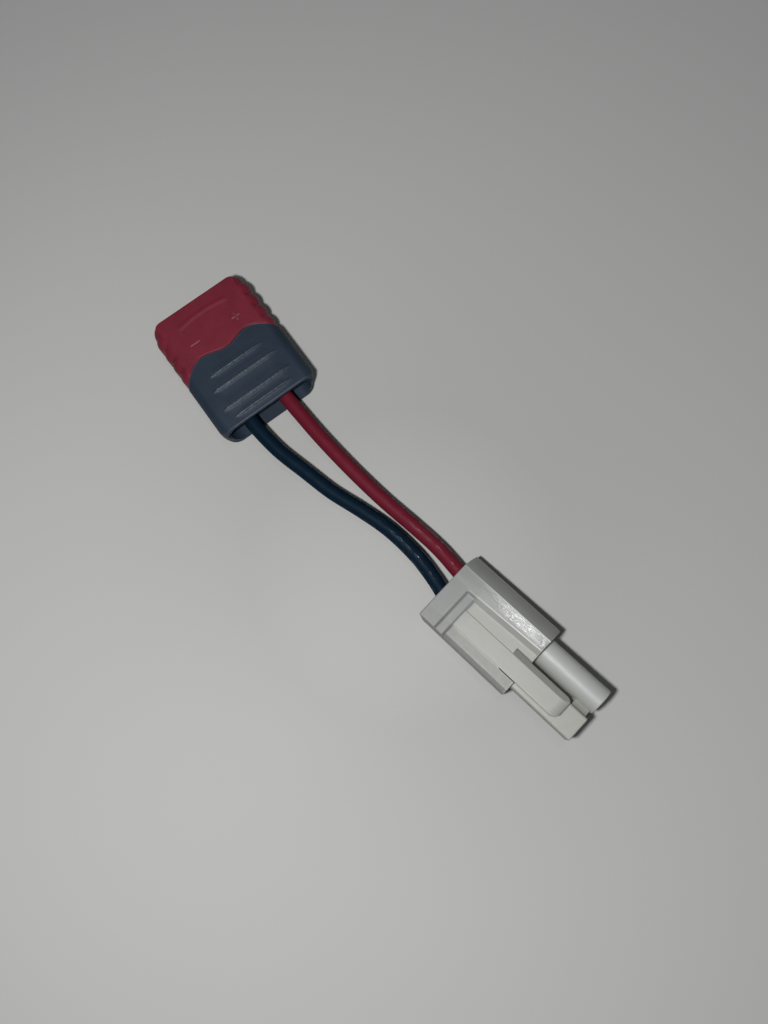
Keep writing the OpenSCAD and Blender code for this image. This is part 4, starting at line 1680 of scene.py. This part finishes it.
@dataclass(frozen=True)
class NylonZones:
    """Painted light and shade of the battery plug, in its own millimetres along, across and up.

    The recess floor and the tongue are warmer: painted light that shines through the thin nylon.
    The thick rear and the low strip beside the recess are greyer and the outer side is darker:
    painted shade. The round tube is paler: painted light. The rail is glazed, which only lowers
    its roughness, and the bevel's crease carries a painted highlight.
    """

    block_end: Ramp = Ramp(19.0, 19.6, 1.0, 0.0)
    rail_side: Ramp = Ramp(1.4, 2.8)
    # Painted shade on the thick rear, the low strip and the outer side
    rear: Ramp = Ramp(5.0, 5.8, 1.0, 0.0)
    rear_rail: Ramp = Ramp(2.0, 9.0, 0.4, 0.0)
    rear_shade_tone: Colour = (0.184, 0.191, 0.188)
    strip_side: Ramp = Ramp(-5.0, -4.7, 1.0, 0.0)
    strip_shade_tone: Colour = (0.188, 0.19, 0.176)
    grey_share: float = 0.75
    outer_side: Ramp = Ramp(4.8, 7.0, 0.0, 0.45)
    outer_end: Ramp = Ramp(19.3, 19.6, 1.0, 0.0)
    outer_shade_tone: Colour = (0.15, 0.153, 0.15)
    # Painted light on the round tube
    tube_from: Ramp = Ramp(19.4, 20.0, 0.0, 0.9)
    tube_side: Ramp = Ramp(0.2, 0.9)
    tube_light_tone: Colour = (0.40, 0.41, 0.40)
    # Painted light through the thin recess floor and tongue, warmer and lighter
    warm_side: Ramp = Ramp(0.6, 2.6, 1.0, 0.0)
    warm_from: Ramp = Ramp(5.2, 7.2)
    warm_share: float = 0.8
    warm_loss: float = 0.7
    warm_light_tone: Colour = (0.333, 0.33, 0.302)
    # Painted highlight along the bevel's crease
    crease_at: float = 4.38
    crease_w: Ramp = Ramp(0.06, 0.22, 1.0, 0.0)
    crease_up: Ramp = Ramp(4.55, 4.8)
    crease_along: Ramp = Ramp(3.0, 11.0, 0.15, 0.8)
    crease_highlight_tone: Colour = (0.80, 0.80, 0.78)
    glaze: float = 0.33

    def apply(
        self, sheet: NodeSheet, colour: bpy.types.NodeSocket, rough: bpy.types.NodeSocket
    ) -> Tuple[bpy.types.NodeSocket, bpy.types.NodeSocket]:
        """Adds the painted light and shade zones, which read the coordinates kept on the plug's
        points.

        Args:
            sheet: nodes of the material.
            colour: the moulded colour.
            rough: the moulded roughness.

        Returns:
            The zoned colour and roughness.
        """
        along, across, height = sheet.axes(sheet.attribute(Kept.OWN, "Vector"))
        rail_side = sheet.spread(across, self.rail_side)
        not_rail = sheet.math("SUBTRACT", 1.0, rail_side)
        rear = sheet.times(sheet.spread(along, self.rear), not_rail)
        rear_rail = sheet.times(sheet.spread(along, self.rear_rail), rail_side)
        on_block = sheet.spread(along, self.block_end)
        strip = sheet.times(sheet.spread(across, self.strip_side), on_block)
        outer = sheet.times(
            sheet.spread(across, self.outer_side), sheet.spread(along, self.outer_end)
        )
        tube = sheet.times(
            sheet.spread(along, self.tube_from), sheet.spread(across, self.tube_side)
        )
        # Painted shade on the rear, the strip and the outer side, then painted light on the round
        # tube
        behind = sheet.times(sheet.math("MAXIMUM", rear, rear_rail), self.grey_share)
        grey = sheet.mix(behind, colour, self.rear_shade_tone)
        grey = sheet.mix(sheet.times(strip, self.grey_share), grey, self.strip_shade_tone)
        grey = sheet.mix(outer, grey, self.outer_shade_tone)
        grey = sheet.mix(tube, grey, self.tube_light_tone)
        # Painted light through the thin recess floor and tongue
        left, ahead = sheet.spread(across, self.warm_side), sheet.spread(along, self.warm_from)
        warm = sheet.times(left, ahead, self.warm_share)
        warm = sheet.math("SUBTRACT", warm, sheet.times(strip, self.warm_loss), True)
        toned = sheet.mix(warm, grey, self.warm_light_tone)
        # Painted highlight along the bevel's crease
        away = sheet.math("ABSOLUTE", sheet.math("SUBTRACT", across, self.crease_at))
        crease = sheet.times(
            sheet.spread(away, self.crease_w),
            sheet.spread(height, self.crease_up),
            sheet.spread(along, self.crease_along),
        )
        glaze = sheet.times(rail_side, on_block, self.glaze)
        glazed = sheet.math("SUBTRACT", rough, glaze, True)
        return sheet.mix(crease, toned, self.crease_highlight_tone), glazed


@dataclass(frozen=True)
class MouldedFinish:
    """Moulded nylon or polypropylene, with its mottling, sheen and grain.

    depth is how far red, green and blue light goes in, as shares of radius_mm.
    """

    name: str
    light: Colour
    dark: Colour
    mottle: float
    rough: Tuple[float, float]
    bump: float
    gloss: float = 0.5
    subsurface: float = 0.0
    depth: Colour = (1.0, 1.0, 1.0)
    radius_mm: float = 1.2
    rib_glints_and_sheen: Optional[RibGlintsAndSheen] = None
    zones: Optional[NylonZones] = None

    def build(self) -> bpy.types.Material:
        """Makes the material.

        Returns:
            The material.
        """
        material, sheet, shader = new_material(self.name)
        group = sheet.add("ShaderNodeGroup", node_tree=moulded_group())
        sheet.link(sheet.place_at(), group.inputs["Vector"])
        given = {
            "Light": (*self.light, 1.0),
            "Dark": (*self.dark, 1.0),
            "Mottle": self.mottle,
            "Rough Low": self.rough[0],
            "Rough High": self.rough[1],
        }
        set_inputs(group, given)
        colour, rough, height = (group.outputs[k] for k in ("Colour", "Roughness", "Height"))
        if self.rib_glints_and_sheen:
            colour, rough, height = self.rib_glints_and_sheen.apply(sheet, colour, rough, height)
        if self.zones:
            colour, rough = self.zones.apply(sheet, colour, rough)
        sheet.link(colour, shader.inputs["Base Color"])
        sheet.link(rough, shader.inputs["Roughness"])
        sheet.bump(height, strength=self.bump, depth_mm=0.06, shader=shader)
        set_inputs(shader, {"IOR": 1.5, "Specular IOR Level": self.gloss})
        if self.subsurface > 0.0:
            shader.inputs["Subsurface Weight"].default_value = self.subsurface
            shader.inputs["Subsurface Radius"].default_value = self.depth
            shader.inputs["Subsurface Scale"].default_value = self.radius_mm * MM
        return material


@dataclass(frozen=True)
class RubberFinish:
    """Silicone insulation with faint dust and die lines, glossier towards the battery plug.

    Its patterns read the way along the wire and the place round it, in millimetres.
    """

    name: str
    base: Colour
    dusty: Colour
    dust: float
    coat: float
    gloss: float
    rough: Tuple[float, float] = (0.50, 0.62)
    line_draw: float = 0.12
    lines: Tuple[float, float] = (0.35, 0.65)
    veil: Ramp = Ramp(0.42, 0.66)
    specks: Ramp = Ramp(0.60, 0.72)
    patches: Ramp = Ramp(0.5, 0.6)
    shine: Tuple[float, float] = (24.0, 44.0)

    def build(self) -> bpy.types.Material:
        """Makes the material.

        Returns:
            The material.
        """
        material, sheet, shader = new_material(self.name)
        run = sheet.attribute(Kept.RUN, "Vector")
        drawn = sheet.stretched(run, self.line_draw)
        lines = sheet.noise(drawn, scale=5.0, detail=4.0, rough=0.65)
        cloud = sheet.noise(run, scale=0.55, detail=4.0, rough=0.6)
        specks = sheet.noise(run, scale=7.0, detail=3.0, rough=0.7)
        glints = sheet.noise(run, scale=1.1, detail=3.0, rough=0.6)
        veil = sheet.times(sheet.spread(cloud, self.veil), self.dust)
        spots = sheet.times(sheet.spread(specks, self.specks), self.dust)
        amount = sheet.math("ADD", veil, spots, True)
        sheet.link(sheet.mix(amount, self.base, self.dusty), shader.inputs["Base Color"])
        rough = sheet.spread(lines, Ramp(*self.lines, *self.rough))
        sheet.link(rough, shader.inputs["Roughness"])
        sheet.bump(lines, strength=0.25, depth_mm=0.05, shader=shader)
        near = sheet.spread(sheet.axes(run)[0], Ramp(*self.shine, 0.0, self.coat))
        coat = sheet.times(near, sheet.spread(glints, self.patches))
        sheet.link(coat, shader.inputs["Coat Weight"])
        constants = {"Coat Roughness": 0.12, "IOR": 1.45, "Specular IOR Level": self.gloss}
        set_inputs(shader, constants)
        return material


@dataclass(frozen=True)
class MetalFinish:
    """Plated or soldered metal, with fine scratches and tarnish."""

    name: str
    bright: Colour
    dull: Colour
    rough: Tuple[float, float]
    grain: float = 2500.0
    line_draw: float = 0.15
    lines: Tuple[float, float] = (0.3, 0.7)
    stain: Ramp = Ramp(0.4, 0.68)

    def build(self) -> bpy.types.Material:
        """Makes the material.

        Returns:
            The material.
        """
        material, sheet, shader = new_material(self.name)
        place_at = sheet.place_at()
        cloud = sheet.noise(place_at, scale=500.0, detail=4.0, rough=0.6)
        drawn = sheet.stretched(place_at, self.line_draw)
        lines = sheet.noise(drawn, scale=self.grain, detail=4.0, rough=0.7)
        stained = sheet.mix(sheet.spread(cloud, self.stain), self.bright, self.dull)
        sheet.link(stained, shader.inputs["Base Color"])
        rough = sheet.spread(lines, Ramp(*self.lines, *self.rough))
        sheet.link(rough, shader.inputs["Roughness"])
        sheet.bump(lines, strength=0.2, depth_mm=0.03, shader=shader)
        shader.inputs["Metallic"].default_value = 1.0
        return material


@dataclass(frozen=True)
class FloorFinish:
    """Plain pale floor with a trace of unevenness, which pales gently away from the lead."""

    colour: Colour = (0.40, 0.40, 0.39)
    far: Colour = (0.80, 0.80, 0.79)
    darker: float = 0.95
    cloud: Ramp = Ramp(0.3, 0.7)
    middle_mm: Point = (46.0, 4.0, 0.0)
    near_mm: float = 30.0
    far_mm: float = 150.0

    def build(self) -> bpy.types.Material:
        """Makes the material.

        Returns:
            The material.
        """
        material, sheet, shader = new_material("pale_floor")
        place_at = sheet.place_at()
        cloud = sheet.spread(sheet.noise(place_at, scale=9.0, detail=3.0, rough=0.5), self.cloud)
        near = sheet.mix(cloud, self.colour, tuple(self.darker * c for c in self.colour))
        away = sheet.add("ShaderNodeVectorMath", operation="DISTANCE")
        sheet.link(place_at, away.inputs[0])
        away.inputs[1].default_value = [c * MM for c in self.middle_mm]
        reach = sheet.spread(away.outputs["Value"], Ramp(self.near_mm * MM, self.far_mm * MM))
        seen = sheet.add("ShaderNodeLightPath").outputs["Is Camera Ray"]
        pale = sheet.mix(sheet.times(reach, seen), near, self.far)
        sheet.link(pale, shader.inputs["Base Color"])
        set_inputs(shader, {"Roughness": 0.55, "Specular IOR Level": 0.3})
        return material


@dataclass(frozen=True)
class Finishes:
    """All the finishes of the lead."""

    red: bpy.types.Material
    red_mark: bpy.types.Material
    slate: bpy.types.Material
    natural: bpy.types.Material
    red_rubber: bpy.types.Material
    black_rubber: bpy.types.Material
    gold: bpy.types.Material
    steel: bpy.types.Material
    solder: bpy.types.Material

    @staticmethod
    def build() -> "Finishes":
        """Makes each material once.

        Returns:
            All the materials of the lead.
        """
        return Finishes(
            red=MouldedFinish(
                name="red_nylon_moulded",
                light=(0.180, 0.0165, 0.0335),
                dark=(0.132, 0.0105, 0.0225),
                mottle=0.8,
                rough=(0.40, 0.52),
                bump=0.35,
                gloss=0.32,
                subsurface=0.12,
                depth=(1.0, 0.2, 0.15),
                radius_mm=0.6,
            ).build(),
            # Painted highlight: the polarity bars are a lighter red, standing in for the light
            # they catch
            red_mark=MouldedFinish(
                name="red_nylon_painted_highlight",
                light=(0.19, 0.019, 0.037),
                dark=(0.16, 0.016, 0.031),
                mottle=0.8,
                rough=(0.40, 0.52),
                bump=0.35,
            ).build(),
            slate=MouldedFinish(
                name="slate_cap_moulded",
                light=(0.019, 0.031, 0.050),
                dark=(0.013, 0.024, 0.039),
                mottle=0.9,
                rough=(0.46, 0.58),
                bump=0.55,
                gloss=0.25,
                rib_glints_and_sheen=RibGlintsAndSheen(),
            ).build(),
            natural=MouldedFinish(
                name="natural_nylon_moulded",
                light=(0.300, 0.306, 0.293),
                dark=(0.257, 0.266, 0.253),
                mottle=0.5,
                rough=(0.42, 0.50),
                bump=0.22,
                subsurface=0.35,
                depth=(1.0, 0.95, 0.85),
                radius_mm=1.1,
                zones=NylonZones(),
            ).build(),
            red_rubber=RubberFinish(
                name="red_silicone",
                base=(0.112, 0.0075, 0.018),
                dusty=(0.13, 0.017, 0.030),
                dust=0.25,
                coat=0.55,
                gloss=0.1,
            ).build(),
            black_rubber=RubberFinish(
                name="black_silicone",
                base=(0.0012, 0.009, 0.020),
                dusty=(0.006, 0.014, 0.027),
                dust=0.3,
                coat=0.5,
                gloss=0.08,
            ).build(),
            gold=MetalFinish(
                name="gold_plate",
                bright=(0.90, 0.68, 0.30),
                dull=(0.62, 0.45, 0.20),
                rough=(0.16, 0.34),
            ).build(),
            steel=MetalFinish(
                name="spring_steel",
                bright=(0.62, 0.62, 0.64),
                dull=(0.42, 0.42, 0.44),
                rough=(0.2, 0.4),
            ).build(),
            solder=MetalFinish(
                name="tinned_solder",
                bright=(0.70, 0.71, 0.73),
                dull=(0.42, 0.43, 0.45),
                rough=(0.2, 0.42),
                grain=1200.0,
            ).build(),
        )

    def dress_nodes(self) -> None:
        """Gives the CAD nodes that stay visible their finishes."""
        for material, kinds, ends in (
            (self.gold, ("contact", "socket"), ("positive", "negative")),
            (self.steel, ("spring",), ("positive", "negative")),
            (self.solder, ("solder",), ("positive", "negative")),
            (self.solder, ("red_strands", "black_strands"), ("t", "plug")),
        ):
            for name in (f"{kind}_{end}" for kind in kinds for end in ends):
                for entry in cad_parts[name].material_slots:
                    entry.material = material
                LOG.info("node %s dressed in %s", name, material.name)


# ---- Stage


@dataclass(frozen=True)
class Camera:
    """Camera fitted to the photograph: a pinhole above the lead, in millimetres."""

    position: Point = (57.76, -6.92, 147.96)
    right: Point = (0.59028, 0.80696, -0.01971)
    up: Point = (-0.79339, 0.58451, 0.16996)
    back: Point = (0.14867, -0.08469, 0.98525)
    focal_px: float = 800.0
    frame_h: int = 1024
    sensor: float = 36.0
    clip: Tuple[float, float] = (1.0, 20000.0)

    def build(self) -> None:
        """Adds the camera and makes it the scene's own."""
        data = bpy.data.cameras.new("view_camera")
        data.sensor_width = self.sensor
        data.lens = self.focal_px * self.sensor / self.frame_h
        data.clip_start, data.clip_end = self.clip[0] * MM, self.clip[1] * MM
        obj = bpy.data.objects.new("view_camera", data)
        bpy.context.scene.collection.objects.link(obj)
        turn = Matrix((self.right, self.up, self.back)).transposed().to_4x4()
        obj.matrix_world = Matrix.Translation(Vector(self.position) * MM) @ turn
        bpy.context.scene.camera = obj


@dataclass(frozen=True)
class Lamp:
    """One area lamp aimed at a point of the lead, in millimetres and watts."""

    name: str
    position: Point
    target: Point
    size: Tuple[float, float]
    power: float

    def build(self) -> None:
        """Adds the lamp."""
        data = bpy.data.lights.new(self.name, "AREA")
        data.shape = "RECTANGLE"
        data.size, data.size_y = self.size[0] * MM, self.size[1] * MM
        data.energy = self.power
        obj = bpy.data.objects.new(self.name, data)
        bpy.context.scene.collection.objects.link(obj)
        place_at, aim = Vector(self.position) * MM, Vector(self.target) * MM
        turn = (aim - place_at).to_track_quat("-Z", "Y").to_matrix().to_4x4()
        obj.matrix_world = Matrix.Translation(place_at) @ turn


@dataclass(frozen=True)
class Studio:
    """Floor, lamps and world. The top lamp stands where the bevel mirrors it to the camera."""

    half: float = 1500.0
    air: Colour = (0.95, 0.98, 1.0)
    fill: float = 0.07
    lamps: Tuple[Lamp, ...] = (
        Lamp(
            name="key_lamp",
            position=(50.8, -28.9, 150.0),
            target=(50.0, 0.0, 0.0),
            size=(10.0, 10.0),
            power=0.22,
        ),
        Lamp(
            name="top_lamp",
            position=(-37.0, 69.0, 594.0),
            target=(66.0, 12.0, 10.0),
            size=(27.0, 16.0),
            power=0.108,
        ),
    )

    def build(self) -> None:
        """Builds the stage round the lead."""
        s = self.half
        corners = np.array([[-s, -s, 0], [s, -s, 0], [s, s, 0], [-s, s, 0]])
        floor = make_mesh("floor", corners, [[0, 1, 2, 3]])
        floor.data.materials.append(FloorFinish().build())
        for lamp in self.lamps:
            lamp.build()
        world = bpy.data.worlds.new("soft_room")
        bpy.context.scene.world = world
        world.use_nodes = True
        shader = world.node_tree.nodes["Background"]
        set_inputs(shader, {"Color": (*self.air, 1.0), "Strength": self.fill})
        bpy.context.scene.view_settings.view_transform = "Standard"


@dataclass(frozen=True)
class AdapterLead:
    """The whole lead, in its building order.

    Each wire's route is a run of points in the frame and its tail in the battery plug's own
    millimetres, the same as its CAD solid's.
    """

    finishes: Finishes
    form: ShellForm
    spot: PlugPlace
    red_run: Tuple[Point, ...] = (
        (4.3, 3.55, 3.875),
        (5.8, 3.55, 3.875),
        (11.2, 3.85, 3.8),
        (18.2, 4.4, 3.7),
        (26.2, 5.4, 3.6),
        (34.2, 6.75, 3.55),
        (41.2, 8.3, 3.6),
        (47.7, 9.5, 3.8),
    )
    red_tail: Tuple[Point, ...] = (
        (1.5, 3.1, 0.0),
        (6.6, 3.1, 0.0),
        (9.1, 3.1, 0.0),
        (10.6, 3.1, 0.0),
    )
    black_run: Tuple[Point, ...] = (
        (4.3, -4.35, 4.125),
        (5.8, -4.35, 4.125),
        (9.7, -4.2, 4.0),
        (15.2, -3.4, 3.8),
        (21.2, -1.75, 3.65),
        (27.2, -0.05, 3.55),
        (33.2, 2.3, 3.55),
        (39.2, 4.3, 3.6),
        (45.7, 5.4, 3.7),
        (51.2, 5.5, 3.9),
    )
    black_tail: Tuple[Point, ...] = (
        (1.5, -1.9, 0.0),
        (6.6, -2.95, 0.0),
        (9.1, -3.1, 0.0),
        (10.6, -3.1, 0.0),
    )

    def route(self, run: Sequence[Point], tail: Sequence[Point]) -> Tuple[Point, ...]:
        """A wire's points in the frame, the last of them inside the battery plug."""
        return (*run, *(self.spot.point(*p) for p in tail))

    def build(self) -> None:
        """Builds each sub-assembly in turn, the cords first."""
        look = self.finishes
        red = self.route(self.red_run, self.red_tail)
        black = self.route(self.black_run, self.black_tail)
        Wire("wire_red", "red_wire", red, look.red_rubber, Slot.RED_RUBBER).build()
        Wire("wire_black", "black_wire", black, look.black_rubber, Slot.BLACK_RUBBER).build()
        Housing(self.form, look.red).build()
        PolaritySigns(self.form, look.red_mark).build()
        RearCap(self.form, look.slate).build()
        PlugHousing(self.spot, look.natural).build()
        look.dress_nodes()


def main() -> None:
    """Builds the camera, the stage and the lead."""
    logging.basicConfig(level=logging.INFO, format="%(name)s: %(message)s")
    Camera().build()
    Studio().build()
    AdapterLead(Finishes.build(), ShellForm(), PlugPlace()).build()


if __name__ == "__main__":
    main()
